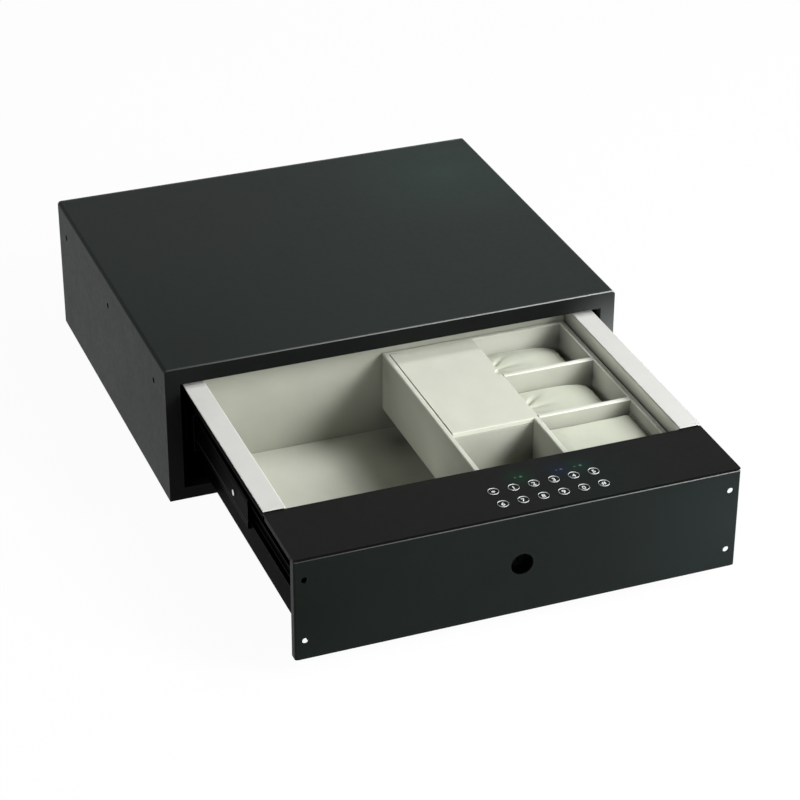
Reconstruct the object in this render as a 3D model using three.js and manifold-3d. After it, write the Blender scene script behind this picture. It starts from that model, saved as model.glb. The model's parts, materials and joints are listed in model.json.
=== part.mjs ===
// Under desk drawer safe: a steel housing that hangs below a desk, with a drawer on ball
// bearing slides, a touch keypad deck, a dropping lock bolt and a lined storage tray.
// Millimetres, +Z up, front towards -Y. The origin is the centre of the housing's underside.
import * as THREE from 'three';
import { mergeVertices } from 'three/addons/utils/BufferGeometryUtils.js';
import Module from 'manifold-3d';

const wasm = await Module();
wasm.setup();

// Clearance between pieces that seat on or beside each other
const SEAT_GAP = 0.3;

// How far a cutting solid reaches past the face that it opens, or a joined one into its neighbour
const PAST = 1;

// Housing
const HOUSING_WIDTH = 500;
const HOUSING_DEPTH = 425;
const HOUSING_HEIGHT = 154;
const HOUSING_SHEET = 2;
const HOUSING_BEND = 4;
const FRAME_POST = 16;
const FRAME_TOP_BAND = 18;
const FRAME_BOTTOM_BAND = 13.7;
const FRAME_RETURN = 12;
const BOTTOM_FLANGE = 15;
const SIDE_HOLE_DIAMETER = 7;
const SIDE_HOLE_DROP = 32;
const SIDE_HOLE_SETBACK = 42.6;
const SIDE_HOLE_PITCH = 175;
const SIDE_HOLES = 3;
const ANCHOR_HOLE_DIAMETER = 10;
const ANCHOR_SPAN_X = 340;
const ANCHOR_SPAN_Y = 270;
const BACK_ANCHOR_SPAN = 300;

// Slides: full extension, three members a side
const SLIDE_LENGTH = 350;
const SLIDE_THICKNESS = 12.7;
const SLIDE_HEIGHT = 45;
const SLIDE_RISE = 57.6;
const SLIDE_SETBACK = 2.7;
const RAIL_SHEET = 1.2;
const MIDDLE_RAIL_HEIGHT = 34;
const INNER_RAIL_HEIGHT = 23;
const CAGE_SHEET = 0.6;
const CAGE_ROOM = 1.7;
const CAGE_CLEARANCE = 0.8;
const CAGE_LENGTH = 150;
const CAGE_BALLS = 6;
const BALL_DIAMETER = 3.6;
const BALL_CLEARANCE = 0.35;
const OUTER_BALL_REACH = 6;
const INNER_BALL_REACH = 7.5;
const BALL_ARCH = 40;
const ARCH_LIP = 1.3;
const MIDDLE_FLANGE_REACH = 6.6;
const SWAGE_HALF = 9.5;
const SWAGE_DEPTH = 0.3;
const FLANGE_EASE = 1.6;
const RAIL_SCREW_DIAMETER = 7;
const RAIL_SCREW_HEAD = 0.5;
const RAIL_SCREW_SETBACK = 44;
const BRACKET_LENGTH = 45;
const BRACKET_SHEET = 1.5;
const BRACKET_FOOT = 11;
const BRACKET_SETBACK = 25;

// Drawer, measured back from the face of its front panel
const DRAWER_OPENING = 333.7;
const DRAWER_SIDE_ROOM = 42;
const DRAWER_BOTTOM_RISE = 0.2;
const DRAWER_SHEET = 1;
const DRAWER_BEND = 2.5;
const DRAWER_INNER_LENGTH = 274.3;
const LEDGE_CLEARANCE = 6.5;
const LEDGE_INSET = 0.4;
const LEDGE_LIP = 6;
const LEDGE_COVER = 1.5;
const BACK_FLANGE = 10;
const LINER_BOARD = 1;
const FRONT_LINER_BOARD = 3;
const FRONT_LINER_DROP = 2;

// Front panel and keypad deck
const PANEL_SIDE_CLEARANCE = 5.6;
const PANEL_LOW_CLEARANCE = 3;
const PANEL_SHEET = 1.5;
const PANEL_RETURN = 9;
const PANEL_HOLE_DIAMETER = 6.5;
const PANEL_HOLE_INSET_X = 10.4;
const PANEL_HOLE_DROP = 20.7;
const PANEL_HOLE_PITCH = 67.4;
const KEY_HOLE_DIAMETER = 23;
const KEY_HOLE_DROP = 54.3;
const DECK_DEPTH = 88.1;
const DECK_OVERHANG = 0.5;
const DECK_SHEET = 1.5;
const DECK_RISE = 0.9;
const DECK_CLEARANCE = 8.5;
const DECK_END_FLANGE = 5.5;
const DECK_END_NOTCH = 5;

// Lock, electronics and battery box behind the panel
const LOCK_CASE_WIDTH = 68;
const LOCK_CASE_DEPTH = 32;
const LOCK_CASE_HEIGHT = 82;
const LOCK_CASE_SETBACK = 40;
const LOCK_BODY_DIAMETER = 19;
const LOCK_BODY_SETBACK = 12;
const LOCK_BORE_DIAMETER = 13.2;
const LOCK_BODY_CHAMFER = 0.8;
const PLUG_LENGTH = 20;
const KEY_SLOT_WIDTH = 1.4;
const KEY_SLOT_HEIGHT = 8;
const KEY_SLOT_DEPTH = 12;
const BOLT_WIDTH = 16;
const BOLT_DEPTH = 9;
const BOLT_HEIGHT = 42;
const BOLT_SETBACK = 10;
const BOLT_CLEARANCE = 0.4;
const BOLT_SLOT_CLEARANCE = 2;
const BOLT_NOSE = 4;
const STRIKE_WIDTH = 40;
const STRIKE_HEIGHT = 12;
const STRIKE_SHEET = 3;
const STRIKE_FOOT = 2;
const STRIKE_LENGTH = 34;
const STRIKE_CLEARANCE = 3;
const MOTOR_DIAMETER = 16;
const MOTOR_LENGTH = 34;
const MOTOR_RISE = 50;
const MOTOR_BOSS_DIAMETER = 5.3;
const MOTOR_BOSS_LENGTH = 2;
const BATTERY_WIDTH = 118;
const BATTERY_DEPTH = 58;
const BATTERY_HEIGHT = 30;
const BATTERY_SIDE_ROOM = 34;
const BATTERY_CELLS = 4;
const BATTERY_WALL = 2;
const BATTERY_END_WALL = 3;
const BATTERY_CELL_GAP = 1;
const BOARD_WIDTH = 140;
const BOARD_DEPTH = 58;
const BOARD_SHEET = 1.6;
const BOARD_CENTRE_X = 42;
const BOARD_POST_HEIGHT = 5;
const BOARD_POST_DIAMETER = 6;
const BOARD_MARGIN = 14;

// Storage tray, in the right half of the drawer
const TRAY_WIDTH = 208.7;
const TRAY_HEIGHT = 67.5;
const TRAY_WALL = 6;
const TRAY_FLOOR = 4;
const TRAY_SIDE_GAP = 1.4;
const TRAY_BACK_GAP = 0.4;
const TRAY_FRONT_GAP = 5;
const LEFT_BAY_WIDTH = 89;
const FRONT_BAY_LENGTH = 80.8;
const MIDDLE_BAY_LENGTH = 83.9;
const RISER_HEIGHT = 25.2;
const RISER_DEPTH = 15;
const RISER_INSET = 20;
const LID_THICKNESS = 5;
const LID_SIDE_GAP = 0.9;
const LID_NOTCH_DIAMETER = 11;
const LID_NOTCH_SETBACK = 76;
const PILLOW_WIDTH = 91;
const PILLOW_HEIGHT = 49.5;
const PILLOW_LEFT_GAP = 2;
const PILLOW_LEFT_FALL = 0.1;
const PILLOW_SLOPE = 0.1;
const PILLOW_RIGHT_FALL = 0.08;
const PILLOW_END_FALL = 0.1;
const PILLOW_DRAW_IN = 2.2;
const PAD_HEIGHT = 51;
const PAD_EASE = 1.5;

// Sheet and rail roundings
const BEND_STEPS = 5;
const ROUND_SIDES = 24;
const HOLE_SIDES = 16;

// Planes that the pieces share
const frontY = -HOUSING_DEPTH / 2;
const backY = HOUSING_DEPTH / 2;
const openingHalf = HOUSING_WIDTH / 2 - FRAME_POST;
const openingTopZ = HOUSING_HEIGHT - FRAME_TOP_BAND;
const panelHalf = openingHalf - PANEL_SIDE_CLEARANCE;
const panelLowZ = FRAME_BOTTOM_BAND + PANEL_LOW_CLEARANCE;
const deckTopZ = openingTopZ - DECK_CLEARANCE;
const panelTopZ = deckTopZ - DECK_SHEET - DECK_RISE;
const drawerHalf = HOUSING_WIDTH / 2 - DRAWER_SIDE_ROOM;
const drawerLowZ = panelLowZ + DRAWER_BOTTOM_RISE;
const drawerFloorZ = drawerLowZ + DRAWER_SHEET;
const ledgeTopZ = openingTopZ - LEDGE_CLEARANCE;
const ledgeHalf = panelHalf - LEDGE_INSET;
const ledgeSteelTop = ledgeTopZ - LEDGE_COVER - SEAT_GAP;
const slideBackX = drawerHalf + SEAT_GAP + SLIDE_THICKNESS;
const slideCentreZ = drawerLowZ + SLIDE_RISE;
const linerFloorZ = drawerFloorZ + SEAT_GAP + LINER_BOARD;
const linerHalf = drawerHalf - DRAWER_SHEET - SEAT_GAP - LINER_BOARD;
const deckBack = DECK_DEPTH - DECK_OVERHANG;
const frontLinerBack = deckBack + SEAT_GAP + FRONT_LINER_BOARD;
const backLinerFront = frontLinerBack + DRAWER_INNER_LENGTH;
const drawerBackFace = backLinerFront + LINER_BOARD + SEAT_GAP;
const trayLength = DRAWER_INNER_LENGTH - TRAY_FRONT_GAP - TRAY_BACK_GAP;
const keyZ = panelTopZ - KEY_HOLE_DROP;

const powderBlack = { color: 0x2a2e2c, roughness: 0.55, metalness: 0.3 };
const railBlack = { color: 0x1a1b1b, roughness: 0.4, metalness: 0.7 };
const brightSteel = { color: 0xc8c9c8, roughness: 0.25, metalness: 1 };
const brass = { color: 0xb08d4a, roughness: 0.35, metalness: 1 };
const blackPlastic = { color: 0x151616, roughness: 0.6, metalness: 0 };
const creamFlock = { color: 0xd8dccb, roughness: 0.95, metalness: 0 };
const whiteFoam = { color: 0xd6d6d2, roughness: 0.9, metalness: 0 };
const boardGreen = { color: 0x1f4a33, roughness: 0.5, metalness: 0.1 };

// Solid operations

function solidOf(geometry) {
  const plain = geometry.clone();
  plain.deleteAttribute('normal');
  plain.deleteAttribute('uv');
  const merged = mergeVertices(plain, 1e-4);
  const mesh = new wasm.Mesh({
    numProp: 3,
    vertProperties: new Float32Array(merged.attributes.position.array),
    triVerts: new Uint32Array(merged.index.array),
  });
  return new wasm.Manifold(mesh);
}

function geometryOf(solid) {
  const mesh = solid.getMesh();
  const geometry = new THREE.BufferGeometry();
  geometry.setAttribute('position', new THREE.BufferAttribute(mesh.vertProperties, 3));
  geometry.setIndex(new THREE.BufferAttribute(mesh.triVerts, 1));
  geometry.computeVertexNormals();
  return geometry;
}

function joined(first, ...others) {
  return geometryOf(others.reduce((sum, other) => sum.add(solidOf(other)), solidOf(first)));
}

function cut(body, ...tools) {
  return geometryOf(tools.reduce((rest, tool) => rest.subtract(solidOf(tool)), solidOf(body)));
}

// Primitive solids, placed by their limits

function block(x, y, z) {
  const geometry = new THREE.BoxGeometry(x[1] - x[0], y[1] - y[0], z[1] - z[0]);
  return geometry.translate((x[0] + x[1]) / 2, (y[0] + y[1]) / 2, (z[0] + z[1]) / 2);
}

function rodX(diameter, x, y, z, sides = HOLE_SIDES) {
  const geometry = new THREE.CylinderGeometry(diameter / 2, diameter / 2, x[1] - x[0], sides);
  return geometry.rotateZ(Math.PI / 2).translate((x[0] + x[1]) / 2, y, z);
}

function rodY(diameter, x, y, z, sides = HOLE_SIDES) {
  const geometry = new THREE.CylinderGeometry(diameter / 2, diameter / 2, y[1] - y[0], sides);
  return geometry.translate(x, (y[0] + y[1]) / 2, z);
}

function rodZ(diameter, x, y, z, sides = HOLE_SIDES) {
  const geometry = new THREE.CylinderGeometry(diameter / 2, diameter / 2, z[1] - z[0], sides);
  return geometry.rotateX(Math.PI / 2).translate(x, y, (z[0] + z[1]) / 2);
}

// Profiles

function shapeOf(points) {
  return new THREE.Shape(points.map(([a, b]) => new THREE.Vector2(a, b)));
}

// A profile drawn in X and Z, pulled along Y
function pullY(shape, y) {
  const geometry = new THREE.ExtrudeGeometry(shape, { depth: y[1] - y[0], bevelEnabled: false });
  return geometry.rotateX(Math.PI / 2).translate(0, y[1], 0);
}

// A profile drawn in Y and Z, pulled along X
function pullX(shape, x) {
  const geometry = new THREE.ExtrudeGeometry(shape, { depth: x[1] - x[0], bevelEnabled: false });
  return geometry.rotateZ(Math.PI / 2).rotateY(Math.PI / 2).translate(x[0], 0, 0);
}

// A profile drawn in X and Y, pulled along Z
function pullZ(shape, z) {
  const geometry = new THREE.ExtrudeGeometry(shape, { depth: z[1] - z[0], bevelEnabled: false });
  return geometry.translate(0, 0, z[0]);
}

// The corners of an open line, rounded to the radius of a sheet's bend
function bent(points, radius) {
  const line = [points[0]];
  for (let i = 1; i < points.length - 1; i += 1) {
    const corner = new THREE.Vector2(...points[i]);
    const toward = new THREE.Vector2(...points[i - 1]).sub(corner).normalize();
    const away = new THREE.Vector2(...points[i + 1]).sub(corner).normalize();
    const half = Math.acos(THREE.MathUtils.clamp(toward.dot(away), -1, 1)) / 2;
    const reach = radius / Math.tan(half);
    const centre = toward.clone().add(away).normalize().multiplyScalar(radius / Math.sin(half)).add(corner);
    const from = corner.clone().addScaledVector(toward, reach).sub(centre);
    const turn = Math.PI - 2 * half;
    const sign = Math.sign(toward.cross(away));
    for (let k = 0; k <= BEND_STEPS; k += 1) {
      const at = from.clone().rotateAround(new THREE.Vector2(), -sign * turn * (k / BEND_STEPS));
      line.push([centre.x + at.x, centre.y + at.y]);
    }
  }
  line.push(points[points.length - 1]);
  return line;
}

// The outline of a sheet of one thickness whose middle follows an open line
function sheetAlong(line, thickness) {
  const left = [];
  const right = [];
  line.forEach((point, i) => {
    const here = new THREE.Vector2(...point);
    const before = new THREE.Vector2(...line[Math.max(i - 1, 0)]);
    const after = new THREE.Vector2(...line[Math.min(i + 1, line.length - 1)]);
    const into = i > 0 ? here.clone().sub(before).normalize() : after.clone().sub(here).normalize();
    const out = i < line.length - 1 ? after.clone().sub(here).normalize() : into.clone();
    const along = into.clone().add(out).normalize();
    const normal = new THREE.Vector2(-along.y, along.x);
    const reach = thickness / 2 / Math.max(normal.dot(new THREE.Vector2(-into.y, into.x)), 0.3);
    left.push([here.x + normal.x * reach, here.y + normal.y * reach]);
    right.push([here.x - normal.x * reach, here.y - normal.y * reach]);
  });
  return shapeOf([...left, ...right.reverse()]);
}

function both(points, side) {
  return points.map(([x, z]) => [side * x, z]);
}

function named(name, geometry, finish) {
  const mesh = new THREE.Mesh(geometry, new THREE.MeshStandardMaterial(finish));
  mesh.name = name;
  return mesh;
}

// Housing

// The outline of the housing seen from the front, with its two upper bends
function housingOutline() {
  const half = HOUSING_WIDTH / 2;
  const shape = new THREE.Shape();
  shape.moveTo(-half, 0);
  shape.lineTo(half, 0);
  shape.lineTo(half, HOUSING_HEIGHT - HOUSING_BEND);
  for (let k = 1; k <= BEND_STEPS; k += 1) {
    const a = (Math.PI / 2) * (k / BEND_STEPS);
    const x = half - HOUSING_BEND + HOUSING_BEND * Math.cos(a);
    shape.lineTo(x, HOUSING_HEIGHT - HOUSING_BEND + HOUSING_BEND * Math.sin(a));
  }
  for (let k = 0; k < BEND_STEPS; k += 1) {
    const a = (Math.PI / 2) * (1 + k / BEND_STEPS);
    const x = -half + HOUSING_BEND + HOUSING_BEND * Math.cos(a);
    shape.lineTo(x, HOUSING_HEIGHT - HOUSING_BEND + HOUSING_BEND * Math.sin(a));
  }
  shape.lineTo(-half, HOUSING_HEIGHT - HOUSING_BEND);
  return shape;
}

function housingShell() {
  const side = HOUSING_WIDTH / 2 - HOUSING_SHEET / 2;
  const top = HOUSING_HEIGHT - HOUSING_SHEET / 2;
  const line = bent([[-side, 0], [-side, top], [side, top], [side, 0]], HOUSING_BEND - HOUSING_SHEET / 2);
  const ends = [frontY + HOUSING_SHEET + SEAT_GAP, backY - HOUSING_SHEET - SEAT_GAP];
  const wrap = pullY(sheetAlong(line, HOUSING_SHEET), ends);
  const holes = [];
  for (const x of [-side, side]) {
    for (let k = 0; k < SIDE_HOLES; k += 1) {
      const y = frontY + SIDE_HOLE_SETBACK + k * SIDE_HOLE_PITCH;
      const across = [x - HOUSING_SHEET, x + HOUSING_SHEET];
      holes.push(rodX(SIDE_HOLE_DIAMETER, across, y, HOUSING_HEIGHT - SIDE_HOLE_DROP));
    }
  }
  return cut(wrap, ...holes);
}

function frontFrame() {
  const half = openingHalf;
  const z = [FRAME_BOTTOM_BAND, openingTopZ];
  const face = pullY(housingOutline(), [frontY, frontY + HOUSING_SHEET]);
  const lip = HOUSING_SHEET;
  const collar = block([-half - lip, half + lip], [frontY + HOUSING_SHEET / 2, frontY + FRAME_RETURN],
    [z[0] - lip, z[1] + lip]);
  const opening = block([-half, half], [frontY - PAST, frontY + FRAME_RETURN + PAST], z);
  return cut(joined(face, collar), opening);
}

function bottomPlate() {
  const half = HOUSING_WIDTH / 2 - HOUSING_SHEET - SEAT_GAP - HOUSING_SHEET / 2;
  const z = HOUSING_SHEET / 2;
  const line = bent([[-half, BOTTOM_FLANGE], [-half, z], [half, z], [half, BOTTOM_FLANGE]], HOUSING_SHEET);
  const ends = [frontY + FRAME_RETURN + SEAT_GAP, backY - HOUSING_SHEET - SEAT_GAP];
  const front = block([-half + HOUSING_BEND, half - HOUSING_BEND],
    [frontY + HOUSING_SHEET + SEAT_GAP, ends[0] + PAST], [0, HOUSING_SHEET]);
  const holes = [];
  for (const x of [-ANCHOR_SPAN_X / 2, ANCHOR_SPAN_X / 2]) {
    for (const y of [-ANCHOR_SPAN_Y / 2, ANCHOR_SPAN_Y / 2]) {
      holes.push(rodZ(ANCHOR_HOLE_DIAMETER, x, y, [-PAST, HOUSING_SHEET + PAST], ROUND_SIDES));
    }
  }
  return cut(joined(pullY(sheetAlong(line, HOUSING_SHEET), ends), front), ...holes);
}

function backPlate() {
  const plate = pullY(housingOutline(), [backY - HOUSING_SHEET, backY]);
  const through = [backY - HOUSING_SHEET - PAST, backY + PAST];
  const holes = [-BACK_ANCHOR_SPAN / 2, BACK_ANCHOR_SPAN / 2].map((x) => (
    rodY(ANCHOR_HOLE_DIAMETER, x, through, HOUSING_HEIGHT / 2, ROUND_SIDES)
  ));
  return cut(plate, ...holes);
}

// A hat section between the housing's side and the slide's outer member
function railBracket(side, y) {
  const wall = HOUSING_WIDTH / 2 - HOUSING_SHEET - SEAT_GAP - BRACKET_SHEET / 2;
  const rail = slideBackX + SEAT_GAP + BRACKET_SHEET / 2;
  const low = slideCentreZ - SLIDE_HEIGHT / 2 + BRACKET_SHEET;
  const high = slideCentreZ + SLIDE_HEIGHT / 2 - BRACKET_SHEET;
  const line = bent([[wall, low - BRACKET_FOOT], [wall, low], [rail, low], [rail, high], [wall, high],
    [wall, high + BRACKET_FOOT]], BRACKET_SHEET);
  return pullY(sheetAlong(both(line, side), BRACKET_SHEET), [y, y + BRACKET_LENGTH]);
}

// Slides

// A place in the slide's section: u from the housing side to the drawer side, v from its centre
function slidePoint(side, u, v) {
  return [side * (slideBackX - u), slideCentreZ + v];
}

function mirroredSection(half) {
  return [...half, ...half.map(([u, v]) => [u, -v]).reverse()];
}

// The middle of each ball row, and the middle of each web and cage, across the slide
const outerBall = {
  u: OUTER_BALL_REACH,
  v: SLIDE_HEIGHT / 2 - RAIL_SHEET - BALL_CLEARANCE - BALL_DIAMETER / 2,
};
const innerBall = {
  u: INNER_BALL_REACH,
  v: (MIDDLE_RAIL_HEIGHT / 2 - RAIL_SHEET + INNER_RAIL_HEIGHT / 2) / 2,
};
const outerCageU = RAIL_SHEET + CAGE_ROOM / 2;
const middleWebU = RAIL_SHEET + CAGE_ROOM + RAIL_SHEET / 2;
const innerCageU = middleWebU + RAIL_SHEET / 2 + CAGE_ROOM / 2;
const innerWebU = SLIDE_THICKNESS - RAIL_SHEET / 2;

// The outer member's flange arches over its row of balls
function outerRailLine() {
  const radius = SLIDE_HEIGHT / 2 - RAIL_SHEET / 2 - outerBall.v;
  const low = THREE.MathUtils.degToRad(BALL_ARCH);
  const half = [[outerBall.u + radius + SEAT_GAP, outerBall.v + radius * Math.sin(low) / ARCH_LIP]];
  for (let k = 0; k <= BEND_STEPS; k += 1) {
    const a = low + (Math.PI - 2 * low) * (k / BEND_STEPS);
    half.push([outerBall.u + radius * Math.cos(a), outerBall.v + radius * Math.sin(a)]);
  }
  half.push([RAIL_SHEET / 2 + FLANGE_EASE, outerBall.v + radius * Math.sin(low)]);
  half.push([RAIL_SHEET / 2, outerBall.v + SEAT_GAP]);
  return mirroredSection(half);
}

// A flange with an eased foot on the web, from its free end inwards
function easedFlange(webU, reach, v) {
  const sign = Math.sign(reach);
  const mid = FLANGE_EASE * (1 - Math.SQRT1_2);
  return [[webU + reach, v], [webU + sign * FLANGE_EASE, v], [webU + sign * mid, v - mid],
    [webU, v - FLANGE_EASE]];
}

// The middle member's web is pressed in a little along its centre, which stiffens it
function middleRailLine() {
  const v = MIDDLE_RAIL_HEIGHT / 2 - RAIL_SHEET / 2;
  const [, ...foot] = easedFlange(middleWebU, MIDDLE_FLANGE_REACH, v);
  const lip = [[middleWebU + MIDDLE_FLANGE_REACH, v + CAGE_CLEARANCE],
    [middleWebU + MIDDLE_FLANGE_REACH - CAGE_CLEARANCE, v]];
  const swage = [[middleWebU, SWAGE_HALF + SWAGE_DEPTH], [middleWebU + SWAGE_DEPTH, SWAGE_HALF]];
  return mirroredSection([...lip, ...foot, ...swage]);
}

function innerRailLine() {
  const v = INNER_RAIL_HEIGHT / 2 - RAIL_SHEET / 2;
  const end = innerCageU + CAGE_SHEET / 2 + CAGE_CLEARANCE;
  return mirroredSection(easedFlange(innerWebU, end - innerWebU, v));
}

function railAlong(side, sectionLine, y) {
  const line = sectionLine.map(([u, v]) => slidePoint(side, u, v));
  return pullY(sheetAlong(line, RAIL_SHEET), y);
}

// A flat head on the web of a member, on the side that faces the housing, one at each end
function railScrews(side, u, y) {
  const x = [u, u - RAIL_SHEET / 2 - RAIL_SCREW_HEAD].map((at) => slidePoint(side, at, 0)[0]);
  x.sort((a, b) => a - b);
  return [y[0] + RAIL_SCREW_SETBACK, y[1] - RAIL_SCREW_SETBACK].map((at) => (
    rodX(RAIL_SCREW_DIAMETER, x, at, slideCentreZ, HOLE_SIDES)
  ));
}

function slideMember(side, sectionLine, webU) {
  const y = [frontY + SLIDE_SETBACK, frontY + SLIDE_SETBACK + SLIDE_LENGTH];
  return joined(railAlong(side, sectionLine, y), ...railScrews(side, webU, y));
}

// A bent strip that carries an upper and a lower row of balls
function ballCage(side, webU, ball) {
  const centre = frontY + SLIDE_SETBACK + SLIDE_LENGTH / 2;
  const y = [centre - CAGE_LENGTH / 2, centre + CAGE_LENGTH / 2];
  const half = [[ball.u + BALL_DIAMETER / 2 + SEAT_GAP, ball.v], [webU + CAGE_CLEARANCE, ball.v],
    [webU, ball.v - CAGE_CLEARANCE]];
  const line = mirroredSection(half).map(([u, v]) => slidePoint(side, u, v));
  const strip = pullY(sheetAlong(line, CAGE_SHEET), y);
  const pitch = CAGE_LENGTH / CAGE_BALLS;
  const balls = [];
  for (const row of [-1, 1]) {
    for (let k = 0; k < CAGE_BALLS; k += 1) {
      const [x, z] = slidePoint(side, ball.u, row * ball.v);
      const sphere = new THREE.SphereGeometry(BALL_DIAMETER / 2, 8, 5);
      balls.push(sphere.translate(x, y[0] + (k + 0.5) * pitch, z));
    }
  }
  return joined(strip, ...balls);
}

// Drawer, drawn shut, with the front panel's face in the plane of the housing's front

const fromPanel = (distance) => frontY + distance;

function drawerShell() {
  const side = drawerHalf - DRAWER_SHEET / 2;
  const low = drawerLowZ + DRAWER_SHEET / 2;
  const high = ledgeSteelTop - DRAWER_SHEET / 2;
  const edge = ledgeHalf - DRAWER_SHEET / 2;
  const half = [[edge, high - LEDGE_LIP], [edge, high], [side, high], [side, low]];
  const line = [...half, ...both(half, -1).reverse()];
  const y = [fromPanel(PANEL_SHEET + SEAT_GAP), fromPanel(drawerBackFace + DRAWER_SHEET)];
  const body = pullY(sheetAlong(bent(line, DRAWER_BEND), DRAWER_SHEET), y);
  const deckUnder = deckTopZ - DECK_SHEET - SEAT_GAP;
  const notchBack = fromPanel(deckBack + SEAT_GAP);
  const yNotch = [y[0] - PAST, notchBack];
  const underDeck = block([-HOUSING_WIDTH, HOUSING_WIDTH], yNotch, [deckUnder, HOUSING_HEIGHT]);
  const corners = [-1, 1].map((sign) => {
    const x = [sign * (drawerHalf + SEAT_GAP), sign * HOUSING_WIDTH].sort((a, b) => a - b);
    return block(x, yNotch, [deckUnder - 2 * LEDGE_LIP, HOUSING_HEIGHT]);
  });
  const boltY = fromPanel(LOCK_CASE_SETBACK + BOLT_SETBACK);
  const slot = block([-BOLT_WIDTH / 2 - BOLT_SLOT_CLEARANCE, BOLT_WIDTH / 2 + BOLT_SLOT_CLEARANCE],
    [boltY - BOLT_SLOT_CLEARANCE, boltY + BOLT_DEPTH + BOLT_SLOT_CLEARANCE],
    [drawerLowZ - PAST, drawerFloorZ + PAST]);
  return cut(body, underDeck, ...corners, slot);
}

// A cross wall of the drawer, eased at its lower corners to clear the sheet's bends
function crossWall(y, top) {
  const half = drawerHalf - DRAWER_SHEET - SEAT_GAP;
  const low = drawerFloorZ + SEAT_GAP;
  const outline = [[half, top], [half, low + DRAWER_BEND], [half - DRAWER_BEND, low]];
  return pullY(shapeOf([...outline, ...both(outline, -1).reverse()]), y);
}

// A cross wall of sheet, with a flange along its upper edge
function flangedWall(y, top, flange) {
  const half = drawerHalf - DRAWER_SHEET - SEAT_GAP;
  return joined(crossWall(y, top), block([-half, half], flange, [top - DRAWER_SHEET, top]));
}

function drawerBack() {
  const y = [fromPanel(drawerBackFace), fromPanel(drawerBackFace + DRAWER_SHEET)];
  return flangedWall(y, ledgeSteelTop, [y[0], y[1] + BACK_FLANGE]);
}

function ledgeCover(side) {
  const x = [side * linerHalf, side * ledgeHalf].sort((a, b) => a - b);
  const y = [fromPanel(deckBack + 2 * SEAT_GAP), fromPanel(drawerBackFace + DRAWER_SHEET)];
  return block(x, y, [ledgeTopZ - LEDGE_COVER, ledgeTopZ]);
}

// A covered board against the drawer's side, under the ledge cover's inner edge
function sideLiner(side) {
  const x = [side * linerHalf, side * (linerHalf + LINER_BOARD)].sort((a, b) => a - b);
  const y = [fromPanel(frontLinerBack + SEAT_GAP), fromPanel(backLinerFront - SEAT_GAP)];
  return block(x, y, [drawerFloorZ + DRAWER_BEND, ledgeSteelTop]);
}

function backLiner() {
  return crossWall([fromPanel(backLinerFront), fromPanel(backLinerFront + LINER_BOARD)], ledgeSteelTop);
}

function frontLiner() {
  const y = [fromPanel(deckBack + SEAT_GAP), fromPanel(frontLinerBack)];
  return crossWall(y, deckTopZ - FRONT_LINER_DROP);
}

function floorLiner() {
  const half = drawerHalf - DRAWER_SHEET - DRAWER_BEND;
  return block([-half, half], [fromPanel(frontLinerBack + SEAT_GAP), fromPanel(backLinerFront - SEAT_GAP)],
    [drawerFloorZ + SEAT_GAP, linerFloorZ]);
}

function panelHoles() {
  const across = [fromPanel(-PAST), fromPanel(PANEL_SHEET + PAST)];
  const holes = [rodY(KEY_HOLE_DIAMETER, 0, across, keyZ, ROUND_SIDES * 2)];
  for (const side of [-1, 1]) {
    for (let k = 0; k < 2; k += 1) {
      const x = side * (panelHalf - PANEL_HOLE_INSET_X);
      holes.push(rodY(PANEL_HOLE_DIAMETER, x, across, panelTopZ - PANEL_HOLE_DROP - k * PANEL_HOLE_PITCH));
    }
  }
  return holes;
}

function frontPanel() {
  const side = panelHalf - PANEL_SHEET / 2;
  const y = fromPanel(PANEL_SHEET / 2);
  const corners = [[-side, y + PANEL_RETURN], [-side, y], [side, y], [side, y + PANEL_RETURN]];
  const line = bent(corners, PANEL_SHEET);
  const body = pullZ(sheetAlong(line, PANEL_SHEET), [panelLowZ, panelTopZ]);
  return cut(body, ...panelHoles());
}

function deckCover() {
  const half = panelHalf;
  const front = fromPanel(-DECK_OVERHANG);
  const back = fromPanel(deckBack);
  const plate = block([-half, half], [front, back], [deckTopZ - DECK_SHEET, deckTopZ]);
  const ends = [-1, 1].map((side) => {
    const x = [side * (half - DECK_SHEET), side * half].sort((a, b) => a - b);
    const y = [fromPanel(PANEL_RETURN + PANEL_SHEET + SEAT_GAP), back - DECK_END_NOTCH];
    return block(x, y, [deckTopZ - DECK_END_FLANGE, deckTopZ - DECK_SHEET / 2]);
  });
  return joined(plate, ...ends);
}

// The sheet wall between the lock box and the lined space, flanged under the deck
function lockBoxWall() {
  const y = [fromPanel(deckBack - DRAWER_SHEET), fromPanel(deckBack)];
  return flangedWall(y, deckTopZ - DECK_SHEET - SEAT_GAP, [y[0] - BACK_FLANGE, y[1]]);
}

// Lock and electronics

const boltFront = fromPanel(LOCK_CASE_SETBACK + BOLT_SETBACK);
const boltLowZ = drawerFloorZ - DRAWER_SHEET / 2;

function lockCase() {
  const front = fromPanel(LOCK_CASE_SETBACK);
  const z = drawerFloorZ + SEAT_GAP;
  const body = block([-LOCK_CASE_WIDTH / 2, LOCK_CASE_WIDTH / 2], [front, front + LOCK_CASE_DEPTH],
    [z, z + LOCK_CASE_HEIGHT]);
  const well = block([-BOLT_WIDTH / 2 - BOLT_CLEARANCE, BOLT_WIDTH / 2 + BOLT_CLEARANCE],
    [boltFront - BOLT_CLEARANCE, boltFront + BOLT_DEPTH + BOLT_CLEARANCE],
    [z - PAST, boltLowZ + BOLT_HEIGHT + SEAT_GAP]);
  return cut(body, well);
}

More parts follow.
